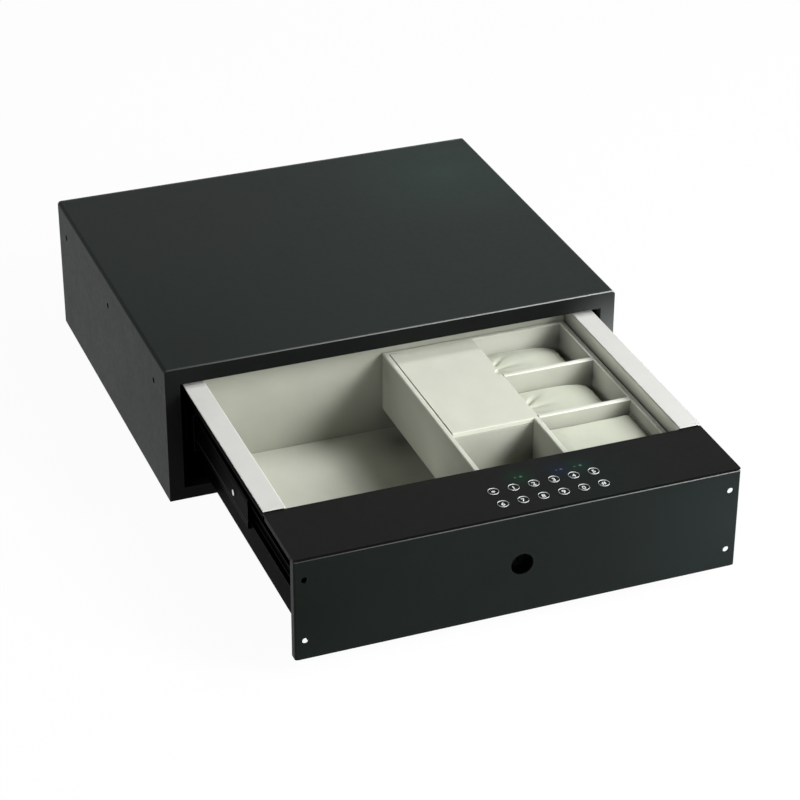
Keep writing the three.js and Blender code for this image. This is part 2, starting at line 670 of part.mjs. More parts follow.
// The bolt's nose is slanted at the back, so that the closing drawer lifts it
function lockBolt() {
  const outline = [[boltFront, boltLowZ], [boltFront + BOLT_DEPTH - BOLT_NOSE, boltLowZ],
    [boltFront + BOLT_DEPTH, boltLowZ + BOLT_NOSE], [boltFront + BOLT_DEPTH, boltLowZ + BOLT_HEIGHT],
    [boltFront, boltLowZ + BOLT_HEIGHT]];
  return pullX(shapeOf(outline), [-BOLT_WIDTH / 2, BOLT_WIDTH / 2]);
}

function lockStrike() {
  const floor = HOUSING_SHEET + SEAT_GAP;
  const front = boltFront - STRIKE_CLEARANCE - STRIKE_SHEET;
  const x = [-STRIKE_WIDTH / 2, STRIKE_WIDTH / 2];
  const foot = block(x, [front, front + STRIKE_LENGTH], [floor, floor + STRIKE_FOOT]);
  return joined(foot, block(x, [front, front + STRIKE_SHEET], [floor, floor + STRIKE_HEIGHT]));
}

function lathedY(profile, x, y, z) {
  const points = profile.map(([r, h]) => new THREE.Vector2(r, h));
  return new THREE.LatheGeometry(points, ROUND_SIDES).translate(x, y, z);
}

// Closed at the back, with a bore for the plug at the front
function keyLockBody() {
  const length = LOCK_CASE_SETBACK - LOCK_BODY_SETBACK - SEAT_GAP;
  const bore = PLUG_LENGTH + SEAT_GAP;
  const outer = LOCK_BODY_DIAMETER / 2;
  const inner = LOCK_BORE_DIAMETER / 2;
  const profile = [[0, bore], [inner, bore], [inner, 0], [outer - LOCK_BODY_CHAMFER, 0],
    [outer, LOCK_BODY_CHAMFER], [outer, length], [0, length]];
  return lathedY(profile, 0, fromPanel(LOCK_BODY_SETBACK), keyZ);
}

function keyPlug() {
  const radius = LOCK_BORE_DIAMETER / 2 - SEAT_GAP;
  const front = fromPanel(LOCK_BODY_SETBACK);
  const body = rodY(radius * 2, 0, [front, front + PLUG_LENGTH], keyZ, ROUND_SIDES);
  const slot = block([-KEY_SLOT_WIDTH / 2, KEY_SLOT_WIDTH / 2], [front - PAST, front + KEY_SLOT_DEPTH],
    [keyZ - KEY_SLOT_HEIGHT / 2, keyZ + KEY_SLOT_HEIGHT / 2]);
  return cut(body, slot);
}

function lockMotor() {
  const x = LOCK_CASE_WIDTH / 2 + SEAT_GAP;
  const y = fromPanel(LOCK_CASE_SETBACK + LOCK_CASE_DEPTH / 2);
  const z = drawerFloorZ + MOTOR_RISE;
  const end = x + MOTOR_LENGTH;
  const can = rodX(MOTOR_DIAMETER, [x, end], y, z, ROUND_SIDES);
  return joined(can, rodX(MOTOR_BOSS_DIAMETER, [end - PAST, end + MOTOR_BOSS_LENGTH], y, z));
}

function batteryBox() {
  const x0 = -drawerHalf + BATTERY_SIDE_ROOM;
  const y0 = fromPanel((deckBack - BATTERY_DEPTH) / 2);
  const z0 = drawerFloorZ + SEAT_GAP;
  const top = z0 + BATTERY_HEIGHT;
  const body = block([x0, x0 + BATTERY_WIDTH], [y0, y0 + BATTERY_DEPTH], [z0, top]);
  const pitch = (BATTERY_DEPTH - 2 * BATTERY_WALL) / BATTERY_CELLS;
  const along = [x0 + BATTERY_END_WALL, x0 + BATTERY_WIDTH - BATTERY_END_WALL];
  const wells = [];
  for (let k = 0; k < BATTERY_CELLS; k += 1) {
    const y = y0 + BATTERY_WALL + (k + 0.5) * pitch;
    wells.push(rodX(pitch - BATTERY_CELL_GAP, along, y, top, ROUND_SIDES));
  }
  return cut(body, ...wells);
}

// Hangs from the deck on four posts, below the touch keys
function circuitBoard() {
  const x = [BOARD_CENTRE_X - BOARD_WIDTH / 2, BOARD_CENTRE_X + BOARD_WIDTH / 2];
  const y0 = fromPanel(BOARD_MARGIN);
  const top = deckTopZ - DECK_SHEET - SEAT_GAP;
  const z = [top - BOARD_POST_HEIGHT - BOARD_SHEET, top - BOARD_POST_HEIGHT];
  const posts = [];
  for (const px of [x[0] + BOARD_POST_DIAMETER, x[1] - BOARD_POST_DIAMETER]) {
    for (const py of [y0 + BOARD_POST_DIAMETER, y0 + BOARD_DEPTH - BOARD_POST_DIAMETER]) {
      posts.push(rodZ(BOARD_POST_DIAMETER, px, py, [z[0] + BOARD_SHEET / 2, top]));
    }
  }
  return joined(block(x, [y0, y0 + BOARD_DEPTH], z), ...posts);
}

// Tray, drawn from its left front lower corner

const trayRight = linerHalf - TRAY_SIDE_GAP;
const trayX = trayRight - TRAY_WIDTH;
const trayY = fromPanel(backLinerFront - TRAY_BACK_GAP - trayLength);
const trayZ = linerFloorZ + SEAT_GAP + RISER_HEIGHT + SEAT_GAP;
const dividerX = TRAY_WALL + LEFT_BAY_WIDTH;
const rightBayX = dividerX + TRAY_WALL;
const crossFrontY = TRAY_WALL + FRONT_BAY_LENGTH;
const crossRearY = crossFrontY + TRAY_WALL + MIDDLE_BAY_LENGTH;
const boardLowZ = TRAY_FLOOR + SEAT_GAP;
const lidUnderZ = TRAY_HEIGHT - LID_THICKNESS;

function trayBody() {
  const outer = block([0, TRAY_WIDTH], [0, trayLength], [0, TRAY_HEIGHT]);
  const hollow = block([TRAY_WALL, TRAY_WIDTH - TRAY_WALL], [TRAY_WALL, trayLength - TRAY_WALL],
    [TRAY_FLOOR, TRAY_HEIGHT + PAST]);
  return cut(outer, hollow);
}

function centreDivider() {
  return block([dividerX, dividerX + TRAY_WALL], [TRAY_WALL + SEAT_GAP, trayLength - TRAY_WALL - SEAT_GAP],
    [boardLowZ, TRAY_HEIGHT]);
}

function lidRestWall() {
  return block([TRAY_WALL + SEAT_GAP, dividerX - SEAT_GAP], [crossFrontY, crossFrontY + TRAY_WALL],
    [boardLowZ, lidUnderZ - SEAT_GAP]);
}

function crossDivider(y) {
  return block([rightBayX + SEAT_GAP, TRAY_WIDTH - TRAY_WALL - SEAT_GAP], [y, y + TRAY_WALL],
    [boardLowZ, TRAY_HEIGHT]);
}

// Turns on its covering along the upper back edge; a finger notch is cut in its right edge
function trayLid() {
  const back = trayLength - TRAY_WALL - SEAT_GAP;
  const right = dividerX - SEAT_GAP;
  const board = block([TRAY_WALL + LID_SIDE_GAP, right], [crossFrontY, back], [lidUnderZ, TRAY_HEIGHT]);
  const notch = rodZ(LID_NOTCH_DIAMETER, right, back - LID_NOTCH_SETBACK,
    [lidUnderZ - PAST, TRAY_HEIGHT + PAST], ROUND_SIDES);
  return cut(board, notch);
}

// A stuffed cushion: its top slopes down to the right and falls off at its ends, its sides draw in
function pillow(y) {
  const x0 = rightBayX + PILLOW_LEFT_GAP;
  const place = (a, b, c) => {
    const crownX = 1 - PILLOW_LEFT_FALL * (1 - a) ** 4 - PILLOW_SLOPE * a - PILLOW_RIGHT_FALL * a ** 10;
    const crownY = 1 - PILLOW_END_FALL * Math.abs(2 * b - 1) ** 2.5;
    const drawIn = PILLOW_DRAW_IN * (2 * c - 1) ** 2;
    const x = x0 + drawIn + a * (PILLOW_WIDTH - 2 * drawIn);
    const across = y[0] + drawIn + b * (y[1] - y[0] - 2 * drawIn);
    return [x, across, boardLowZ + c * PILLOW_HEIGHT * crownX * crownY];
  };
  return latticeSolid(16, 10, 6, place);
}

// A closed skin over a bent block: place() gives a point for each share along the three ways
function latticeSolid(columns, rows, levels, place) {
  const positions = [];
  const quad = (p, q, r, s) => positions.push(...p, ...q, ...r, ...p, ...r, ...s);
  const sweep = (n, m, at) => {
    for (let i = 0; i < n; i += 1) {
      for (let j = 0; j < m; j += 1) {
        quad(at(i / n, j / m), at((i + 1) / n, j / m),
          at((i + 1) / n, (j + 1) / m), at(i / n, (j + 1) / m));
      }
    }
  };
  sweep(columns, rows, (a, b) => place(a, b, 1));
  sweep(rows, columns, (b, a) => place(a, b, 0));
  sweep(columns, levels, (a, c) => place(a, 0, c));
  sweep(levels, columns, (c, a) => place(a, 1, c));
  sweep(levels, rows, (c, b) => place(0, b, c));
  sweep(rows, levels, (b, c) => place(1, b, c));
  const geometry = new THREE.BufferGeometry();
  geometry.setAttribute('position', new THREE.Float32BufferAttribute(positions, 3));
  return mergeVertices(geometry, 1e-4);
}

// A soft block with eased upper edges, lying in the right front bay
function frontPad() {
  const place = (a, b, c) => {
    const ease = PAD_EASE * c ** 8;
    const width = TRAY_WIDTH - TRAY_WALL - rightBayX - 4 * SEAT_GAP;
    const x = rightBayX + 2 * SEAT_GAP + ease + a * (width - 2 * ease);
    const across = TRAY_WALL + SEAT_GAP + ease + b * (FRONT_BAY_LENGTH - 2 * SEAT_GAP - 2 * ease);
    return [x, across, boardLowZ + c * PAD_HEIGHT];
  };
  return latticeSolid(6, 6, 8, place);
}

function trayRiser(y) {
  return block([trayX + RISER_INSET, trayRight - RISER_INSET], [y, y + RISER_DEPTH],
    [linerFloorZ + SEAT_GAP, linerFloorZ + SEAT_GAP + RISER_HEIGHT]);
}

// The assembly, with the drawer pulled out

const safe = new THREE.Group();
const sides = [['left', -1], ['right', 1]];

safe.add(named('housing_shell', housingShell(), powderBlack));
safe.add(named('front_frame', frontFrame(), powderBlack));
safe.add(named('bottom_plate', bottomPlate(), powderBlack));
safe.add(named('back_plate', backPlate(), powderBlack));
safe.add(named('lock_strike', lockStrike(), railBlack));

// The members lag the drawer by quarters of its travel
const outerCages = new THREE.Group();
const middleRails = new THREE.Group();
const innerCages = new THREE.Group();
outerCages.position.y = -DRAWER_OPENING / 4;
middleRails.position.y = -DRAWER_OPENING / 2;
innerCages.position.y = -DRAWER_OPENING * 3 / 4;
safe.add(outerCages, middleRails, innerCages);

const drawer = new THREE.Group();
drawer.position.y = -DRAWER_OPENING;
safe.add(drawer);

for (const [word, side] of sides) {
  const frontBracket = frontY + BRACKET_SETBACK;
  const rearBracket = frontY + SLIDE_SETBACK + SLIDE_LENGTH - BRACKET_SETBACK - BRACKET_LENGTH;
  safe.add(named(`${word}_front_rail_bracket`, railBracket(side, frontBracket), powderBlack));
  safe.add(named(`${word}_rear_rail_bracket`, railBracket(side, rearBracket), powderBlack));
  safe.add(named(`${word}_outer_rail`, railAlong(side, outerRailLine(),
    [frontY + SLIDE_SETBACK, frontY + SLIDE_SETBACK + SLIDE_LENGTH]), railBlack));
  outerCages.add(named(`${word}_outer_ball_cage`, ballCage(side, outerCageU, outerBall), brightSteel));
  middleRails.add(named(`${word}_middle_rail`, slideMember(side, middleRailLine(), middleWebU), railBlack));
  innerCages.add(named(`${word}_inner_ball_cage`, ballCage(side, innerCageU, innerBall), brightSteel));
  drawer.add(named(`${word}_inner_rail`, slideMember(side, innerRailLine(), innerWebU), railBlack));
  drawer.add(named(`${word}_ledge_cover`, ledgeCover(side), whiteFoam));
  drawer.add(named(`${word}_liner`, sideLiner(side), creamFlock));
}

drawer.add(named('drawer_shell', drawerShell(), powderBlack));
drawer.add(named('drawer_back', drawerBack(), powderBlack));
drawer.add(named('back_liner', backLiner(), creamFlock));
drawer.add(named('front_liner', frontLiner(), creamFlock));
drawer.add(named('floor_liner', floorLiner(), creamFlock));
drawer.add(named('front_panel', frontPanel(), powderBlack));
drawer.add(named('deck_cover', deckCover(), powderBlack));
drawer.add(named('lock_box_wall', lockBoxWall(), powderBlack));
drawer.add(named('lock_case', lockCase(), railBlack));
drawer.add(named('lock_bolt', lockBolt(), brightSteel));
drawer.add(named('lock_motor', lockMotor(), brightSteel));
drawer.add(named('key_lock_body', keyLockBody(), brass));
drawer.add(named('key_plug', keyPlug(), brightSteel));
drawer.add(named('battery_box', batteryBox(), blackPlastic));
drawer.add(named('circuit_board', circuitBoard(), boardGreen));
drawer.add(named('rear_tray_riser', trayRiser(trayY + trayLength - RISER_DEPTH), blackPlastic));
drawer.add(named('front_tray_riser', trayRiser(trayY), blackPlastic));

const tray = new THREE.Group();
tray.position.set(trayX, trayY, trayZ);
drawer.add(tray);
tray.add(named('tray_body', trayBody(), creamFlock));
tray.add(named('tray_centre_divider', centreDivider(), creamFlock));
tray.add(named('tray_lid_rest_wall', lidRestWall(), creamFlock));
tray.add(named('tray_front_cross_divider', crossDivider(crossFrontY), creamFlock));
tray.add(named('tray_rear_cross_divider', crossDivider(crossRearY), creamFlock));
tray.add(named('tray_lid', trayLid(), creamFlock));
tray.add(named('front_pad', frontPad(), creamFlock));
const frontBay = [crossFrontY + TRAY_WALL + SEAT_GAP, crossRearY - SEAT_GAP];
const rearBay = [crossRearY + TRAY_WALL + SEAT_GAP, trayLength - TRAY_WALL - SEAT_GAP];
tray.add(named('front_pillow', pillow(frontBay), creamFlock));
tray.add(named('rear_pillow', pillow(rearBay), creamFlock));

export default safe;
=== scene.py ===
import bmesh
import bpy
import json
import math
from mathutils import Matrix, Vector, noise

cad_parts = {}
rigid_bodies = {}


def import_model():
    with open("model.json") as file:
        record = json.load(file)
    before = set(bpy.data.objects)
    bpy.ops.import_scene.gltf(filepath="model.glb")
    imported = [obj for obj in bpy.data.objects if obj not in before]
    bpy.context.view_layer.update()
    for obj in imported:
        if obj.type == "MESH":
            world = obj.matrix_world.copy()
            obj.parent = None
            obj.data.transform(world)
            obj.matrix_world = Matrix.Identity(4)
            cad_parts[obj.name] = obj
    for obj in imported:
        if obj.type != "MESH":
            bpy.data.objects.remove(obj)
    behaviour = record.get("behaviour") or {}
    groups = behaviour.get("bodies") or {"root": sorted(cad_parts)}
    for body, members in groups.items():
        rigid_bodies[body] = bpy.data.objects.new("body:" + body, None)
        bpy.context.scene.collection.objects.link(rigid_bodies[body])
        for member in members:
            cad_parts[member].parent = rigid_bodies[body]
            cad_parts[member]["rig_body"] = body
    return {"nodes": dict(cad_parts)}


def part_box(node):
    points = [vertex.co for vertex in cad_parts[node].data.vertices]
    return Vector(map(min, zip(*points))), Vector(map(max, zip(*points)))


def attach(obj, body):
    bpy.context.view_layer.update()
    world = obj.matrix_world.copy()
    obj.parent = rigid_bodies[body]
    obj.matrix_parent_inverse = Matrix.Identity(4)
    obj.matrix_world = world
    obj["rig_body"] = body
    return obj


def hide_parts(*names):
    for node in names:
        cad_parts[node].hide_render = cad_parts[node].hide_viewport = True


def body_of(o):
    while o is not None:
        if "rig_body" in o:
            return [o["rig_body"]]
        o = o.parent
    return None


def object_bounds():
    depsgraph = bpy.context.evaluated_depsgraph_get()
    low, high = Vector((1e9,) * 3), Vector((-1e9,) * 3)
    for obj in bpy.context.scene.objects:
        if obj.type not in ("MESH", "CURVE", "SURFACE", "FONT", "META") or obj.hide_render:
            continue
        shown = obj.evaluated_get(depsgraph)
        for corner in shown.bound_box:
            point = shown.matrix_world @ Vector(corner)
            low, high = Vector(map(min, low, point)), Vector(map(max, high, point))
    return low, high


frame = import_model()
cad_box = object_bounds()

# Camera: above the front left corner of the safe, a long lens with almost no roll.
camera_place = Vector((-0.84384, -2.39956, 1.42022))
camera_turn = math.radians(-21.20)
camera_rise = math.radians(29.930)
camera_roll = math.radians(0.218)
camera_lens = 115.72
back = Vector((math.sin(camera_turn) * math.cos(camera_rise),
               -math.cos(camera_turn) * math.cos(camera_rise), math.sin(camera_rise)))
right = Vector((math.cos(camera_turn), math.sin(camera_turn), 0))
above = back.cross(right)
level = math.cos(camera_roll)
tip = math.sin(camera_roll)
camera_data = bpy.data.cameras.new("camera")
camera_data.lens = camera_lens
camera_data.sensor_width = 36
camera_data.clip_start = 0.05
camera_data.clip_end = 50
camera = bpy.data.objects.new("camera", camera_data)
bpy.context.scene.collection.objects.link(camera)
axes = Matrix((right * level + above * tip, above * level - right * tip, back)).transposed()
camera.matrix_world = Matrix.Translation(camera_place) @ axes.to_4x4()
bpy.context.scene.camera = camera


# Housing: four plates of 2 mm steel sheet, folded and welded, with eased edges and a satin
# black powder coat. The wrapped shell has three holes a side; the frame round the opening
# is folded in, and the back and bottom plates have the anchor holes. The shell's top has
# painted sheen towards the back and painted shade at the front, the eased edges a painted
# highlight, and the frame's right post a painted reflection. The frame's upper edge is rubbed
# thin towards the right and carries a painted highlight that grows the same way.
MM = 0.001


class Reading:
    """A value in a node tree. Sums on it add the Math nodes that work them out."""

    def __init__(self, graph, socket):
        self.graph = graph
        self.socket = socket

    def sum(self, operation, left, right):
        """One Math node, with readings or plain numbers on either side."""
        return self.graph.node("ShaderNodeMath", {"operation": operation}, {0: left, 1: right})

    def __add__(self, other):
        return self.sum("ADD", self, other)

    def __radd__(self, other):
        return self.sum("ADD", other, self)

    def __sub__(self, other):
        return self.sum("SUBTRACT", self, other)

    def __rsub__(self, other):
        return self.sum("SUBTRACT", other, self)

    def __mul__(self, other):
        return self.sum("MULTIPLY", self, other)

    def __rmul__(self, other):
        return self.sum("MULTIPLY", other, self)

    def __truediv__(self, other):
        return self.sum("DIVIDE", self, other)

    def __pow__(self, other):
        return self.sum("POWER", self, other)

    def clipped(self):
        """The value kept between 0 and 1."""
        return self.graph.node("ShaderNodeClamp", {}, {0: self})


class Graph:
    """Adds nodes to a tree, each from its type, its settings and its sockets' values or links."""

    def __init__(self, tree):
        self.tree = tree

    def node(self, kind, settings=None, sockets=None, output=0):
        """Adds one node and gives the reading of the output asked for."""
        made = self.tree.nodes.new(kind)
        for key, value in (settings or {}).items():
            setattr(made, key, value)
        for key, value in (sockets or {}).items():
            if isinstance(value, Reading):
                self.tree.links.new(value.socket, made.inputs[key])
            else:
                made.inputs[key].default_value = value
        return Reading(self, made.outputs[output]) if made.outputs else None

    def mixed(self, share, first, second):
        """The first colour going over into the second as the share goes from 0 to 1."""
        return self.node("ShaderNodeMix", {"data_type": "RGBA"}, {0: share, 6: first, 7: second}, 2)


def tone(code):
    """A linear colour from its written form, such as 2b2e2d."""
    parts = [int(code[i:i + 2], 16) / 255 for i in (0, 2, 4)]
    return [p / 12.92 if p <= 0.04045 else ((p + 0.055) / 1.055) ** 2.4 for p in parts]


class Finish(Graph):
    """A material with one Principled shader, made up with node()."""

    def __init__(self, name):
        self.material = bpy.data.materials.new(name)
        self.material.use_nodes = True
        super().__init__(self.material.node_tree)
        self.tree.nodes.clear()
        self.place = self.node("ShaderNodeTexCoord", {}, {}, 3)

    def grain(self, size, detail=2, roughness=0.5, stretch=(1, 1, 1)):
        """Noise from 0 to 1 whose grains are about that size in millimetres."""
        spread = self.node("ShaderNodeMapping", {}, {"Vector": self.place, "Scale": stretch})
        return self.node("ShaderNodeTexNoise", {}, {"Vector": spread, "Scale": 1 / (size * MM),
                                                    "Detail": detail, "Roughness": roughness})

    def tinted(self, colour, tints, share=0.8):
        """The colour with patches of others, each (centre, reach, colour), in millimetres."""
        for centre, spread, code_near in tints:
            away = self.node("ShaderNodeVectorMath", {"operation": "DISTANCE"},
                             {0: self.place, 1: [c * MM for c in centre]}, 1)
            near = (1 - away / (spread * MM)).clipped() ** 2
            colour = self.mixed(near * share, colour, tone(code_near) + [1])
        return colour

    def relief(self, height, depth, under=None):
        """A bump of that depth in millimetres, over another one if given."""
        sockets = {"Height": height, "Distance": depth * MM, "Strength": 1.0}
        if under is not None:
            sockets["Normal"] = under
        return self.node("ShaderNodeBump", {}, sockets)

    def surface(self, colour, roughness, normal, **constants):
        """Ends the material in its Principled shader, with constants on the shader's own sockets."""
        shader = self.node("ShaderNodeBsdfPrincipled", {}, {
            "Base Color": colour, "Roughness": roughness, "Normal": normal, **constants})
        self.node("ShaderNodeOutputMaterial", {}, {"Surface": shader})
        return self.material


def powder_coat(name, code, sheen_level=0.5, tints=(), gloss=0.12):
    """Baked powder paint: a fine pebbled skin, faint mottling and a little dust."""
    finish = Finish(name)
    pebbles = finish.grain(0.55, 1)
    waves = finish.grain(2.6, 2)
    mottle = finish.grain(38, 3, 0.6)
    dust = finish.grain(7, 4, 0.7)
    dark = [c * 0.86 for c in tone(code)] + [1]
    pale = [c * 1.16 for c in tone(code)] + [1]
    colour = finish.tinted(finish.mixed(mottle, dark, pale), tints)
    roughness = sheen_level + 0.14 * (dust - 0.5) + 0.08 * (mottle - 0.5)
    skin = finish.relief(waves, 0.035, finish.relief(pebbles, 0.03))
    return finish.surface(colour, roughness, skin, **{"Specular IOR Level": gloss})


merge_within = 2e-6
flat_within = math.radians(0.6)
crisp_above = math.radians(50)
rim_facing = 0.3


def eased(name, node, width, steps, material, convex_only=False, lift=35, pick=None, edge_material=None,
          rim_depth=0.0, reshape=None):
    """A copy of a CAD node with its corners merged, its flats made whole and its edges rounded.

    The rounded edges may have a material of their own, for paint that thins there and for a
    painted highlight, and rim_depth gives it to the upper edge as well, down to that many
    millimetres. A fine form that the solid lacks is given by reshape before the edges are rounded.
    """
    mesh = bpy.data.meshes.new(name)
    work = bmesh.new()
    work.from_mesh(frame["nodes"][node].data)
    bmesh.ops.remove_doubles(work, verts=work.verts, dist=merge_within)
    bmesh.ops.dissolve_limit(work, angle_limit=flat_within, verts=work.verts, edges=work.edges)
    if reshape:
        reshape(work)
    sharp = []
    for edge in work.edges:
        if len(edge.link_faces) == 2 and edge.calc_face_angle() > math.radians(lift):
            middle = (edge.verts[0].co + edge.verts[1].co) / 2
            if (edge.is_convex or not convex_only) and (pick is None or pick(middle)):
                sharp.append(edge)
    bmesh.ops.bevel(work, geom=sharp, offset=width * MM, segments=steps, profile=0.5,
                    affect="EDGES", clamp_overlap=True, material=1 if edge_material else -1)
    rim = max(v.co.z for v in work.verts) - rim_depth * MM
    for face in work.faces:
        face.smooth = True
        if rim_depth and face.normal.z > rim_facing and face.calc_center_median().z > rim:
            face.material_index = 1
    work.to_mesh(mesh)
    work.free()
    mesh.set_sharp_from_angle(angle=crisp_above)
    mesh.materials.append(material)
    if edge_material:
        mesh.materials.append(edge_material)
    piece = bpy.data.objects.new(name, mesh)
    bpy.context.scene.collection.objects.link(piece)
    shade = piece.modifiers.new("even_shading", "WEIGHTED_NORMAL")
    shade.keep_sharp = True
    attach(piece, body_of(frame["nodes"][node])[0])
    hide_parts(node)
    return piece


def rubbed_and_lit_edge(name, left_code, right_code):
    """Paint worn thin along a cut edge, with a painted highlight there, both the more the further to the
    right.
    """
    finish = Finish(name)
    rub = finish.grain(7, 4, 0.7)
    across = finish.node("ShaderNodeSeparateXYZ", {}, {0: finish.place}, 0)
    share = (across / (cad_box[1].x - cad_box[0].x) + 0.5).clipped()
    colour = finish.mixed(share, tone(left_code) + [1], tone(right_code) + [1])
    return finish.surface(colour, 0.4 + 0.1 * rub, finish.relief(rub, 0.02), **{"Specular IOR Level": 0.15})


# The shell's top carries painted sheen, lighter and greener towards the back, and painted shade near the
# front.
painted_sheen_left = (-150, 120, 154)
painted_sheen_back = (190, 130, 154)
painted_shade_near = (-210, -180, 154)
housing_black = powder_coat("housing_powder_black", "181f1d", 0.45, (
    (painted_sheen_left, 200, "1e1f1e"), (painted_sheen_back, 220, "1f302a"), (painted_shade_near, 220, "121716")), 0.04)
# The eased edges' paler coat is a painted highlight.
highlight_edge_black = powder_coat("edge_powder_black", "4c4f4d", 0.35, gloss=0.4)
for node in ("housing_shell", "back_plate", "bottom_plate"):
    eased(node + "_coated", node, 0.35, 2, housing_black, edge_material=highlight_edge_black)
# A painted reflection lights the frame's right post; the frame's own coat is painted darker than the shell's,
# as shade.
painted_reflection_post = (250, -212.5, 100)
frame_black = powder_coat("frame_powder_black", "121413", 0.5, ((painted_reflection_post, 85, "6a6e6c"),), 0.05)
frame_edge = rubbed_and_lit_edge("frame_edge_rubbed", "262827", "a6a8a6")
eased("front_frame_coated", "front_frame", 0.4, 3, frame_black, edge_material=frame_edge,
              pick=lambda point: point.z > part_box("front_frame")[1].z - MM, rim_depth=1)


# Slide brackets and bolt strike: hat sections of folded strip that carry the slides clear
# of the housing, and the steel catch on the floor behind which the bolt drops.
bracket_black = powder_coat("bracket_black", "050505", 0.55, gloss=0.02)
for side in ("left", "right"):
    for end in ("front", "rear"):
        node = f"{side}_{end}_rail_bracket"
        eased(node + "_coated", node, 0.25, 1, bracket_black)
eased("lock_strike_coated", "lock_strike", 0.5, 2, bracket_black)


# Slides: cold rolled strip, blackened by plating, so the drawn edges shine a little and the
# faces carry fine lines along the travel. The edges' paler colour is a painted highlight.
# Three members a side, two of them with rivets.
def plated_rail(name, code, metal):
    """Blackened strip with fine drawn lines along it and faint stains."""
    finish = Finish(name)
    drawn = finish.grain(0.5, 2, 0.6, (1, 0.02, 1))
    stain = finish.grain(22, 3, 0.6, (1, 0.3, 1))
    base = tone(code)
    colour = finish.mixed(stain, [c * 0.8 for c in base] + [1], [c * 1.3 for c in base] + [1])
    roughness = 0.3 + 0.16 * drawn + 0.1 * stain
    return finish.surface(colour, roughness, finish.relief(drawn, 0.012), **{
        "Metallic": metal, "Specular IOR Level": 0.005})


def tree_of(name, sizes):
    """A geometry tree with a named input for each size, and its inputs as readings."""
    tree = bpy.data.node_groups.new(name, "GeometryNodeTree")
    for label, kind in sizes:
        tree.interface.new_socket(name=label, in_out="INPUT", socket_type=kind)
    tree.interface.new_socket(name="Made", in_out="OUTPUT", socket_type="NodeSocketGeometry")
    graph = Graph(tree)
    entry = tree.nodes.new("NodeGroupInput")
    return graph, {label: Reading(graph, entry.outputs[label]) for label, _ in sizes}


grown_crisp_above = math.radians(40)


def grown(name, graph, made, material, values):
    """Ends a tree in Realize Instances and Set Material, runs it and keeps its plain mesh."""
    if "leave" not in [n.name for n in graph.tree.nodes]:
        whole = graph.node("GeometryNodeRealizeInstances", {}, {0: made})
        dressed = graph.node("GeometryNodeSetMaterial", {}, {"Geometry": whole, "Material": material})
        leave = graph.tree.nodes.new("NodeGroupOutput")
        leave.name = "leave"
        graph.tree.links.new(dressed.socket, leave.inputs[0])
    piece = bpy.data.objects.new(name, bpy.data.meshes.new(name + "_seed"))
    bpy.context.scene.collection.objects.link(piece)
    maker = piece.modifiers.new("maker", "NODES")
    maker.node_group = graph.tree
    for item in graph.tree.interface.items_tree:
        if item.in_out == "INPUT" and item.name in values:
            maker[item.identifier] = values[item.name]
    bpy.context.view_layer.update()
    ready = piece.evaluated_get(bpy.context.evaluated_depsgraph_get())
    mesh = bpy.data.meshes.new_from_object(ready)
    mesh.name = name
    piece.modifiers.clear()
    piece.data = mesh
    for polygon in mesh.polygons:
        polygon.use_smooth = True
    mesh.set_sharp_from_angle(angle=grown_crisp_above)
    return piece


rail_plating = plated_rail("rail_black_plating", "020202", 0.0)
rail_highlight_edge = plated_rail("rail_rubbed_edge", "2a2c2c", 0.3)
for side in ("left", "right"):
    for member in ("outer", "middle", "inner"):
        node = f"{side}_{member}_rail"
        eased(node + "_plated", node, 0.2, 1, rail_plating, edge_material=rail_highlight_edge)


def bright_steel(name, code="c4c6c6", roughness=0.22):
    """Plated or ground steel, with faint smudges and fine scratches along the travel."""
    finish = Finish(name)
    smudge = finish.grain(5, 3, 0.6)
    scratches = finish.grain(0.4, 2, 0.6, (1, 0.05, 1))
    base = tone(code)
    colour = finish.mixed(smudge, [c * 0.9 for c in base] + [1], base + [1])
    return finish.surface(colour, roughness + 0.12 * smudge, finish.relief(scratches, 0.004), Metallic=1.0)


rivet_steel = bright_steel("rivet_steel", "d9dada", 0.3)
rivet_width = 6.4
rivet_rise = 0.12
rivet_setback = 44
rivet_planes = {"middle": 218.6, "inner": 210.0}
graph, size = tree_of("rivet_heads", [("First", "NodeSocketVector"), ("Step", "NodeSocketVector"),
                                      ("Radius", "NodeSocketFloat"), ("Rise", "NodeSocketFloat")])
places = graph.node("GeometryNodeMeshLine", {"mode": "OFFSET"},
                    {"Count": 2, "Start Location": size["First"], "Offset": size["Step"]})
disc = graph.node("GeometryNodeMeshUVSphere", {}, {"Segments": 28, "Rings": 12, "Radius": 1.0})
squat = graph.node("ShaderNodeCombineXYZ", {},
                   {"X": size["Rise"], "Y": size["Radius"], "Z": size["Radius"]})
heads = graph.node("GeometryNodeInstanceOnPoints", {}, {"Points": places, "Instance": disc, "Scale": squat})
for side, sign in (("left", -1), ("right", 1)):
    for member, plane in rivet_planes.items():
        node = f"{side}_{member}_rail"
        low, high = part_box(node)
        rivets = grown(node + "_rivets", graph, heads, rivet_steel, {
            "First": (sign * plane * MM, low.y + rivet_setback * MM, (low.z + high.z) / 2),
            "Step": (0, high.y - low.y - 2 * rivet_setback * MM, 0),
            "Radius": rivet_width / 2 * MM, "Rise": rivet_rise * MM})
        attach(rivets, body_of(frame["nodes"][node])[0])


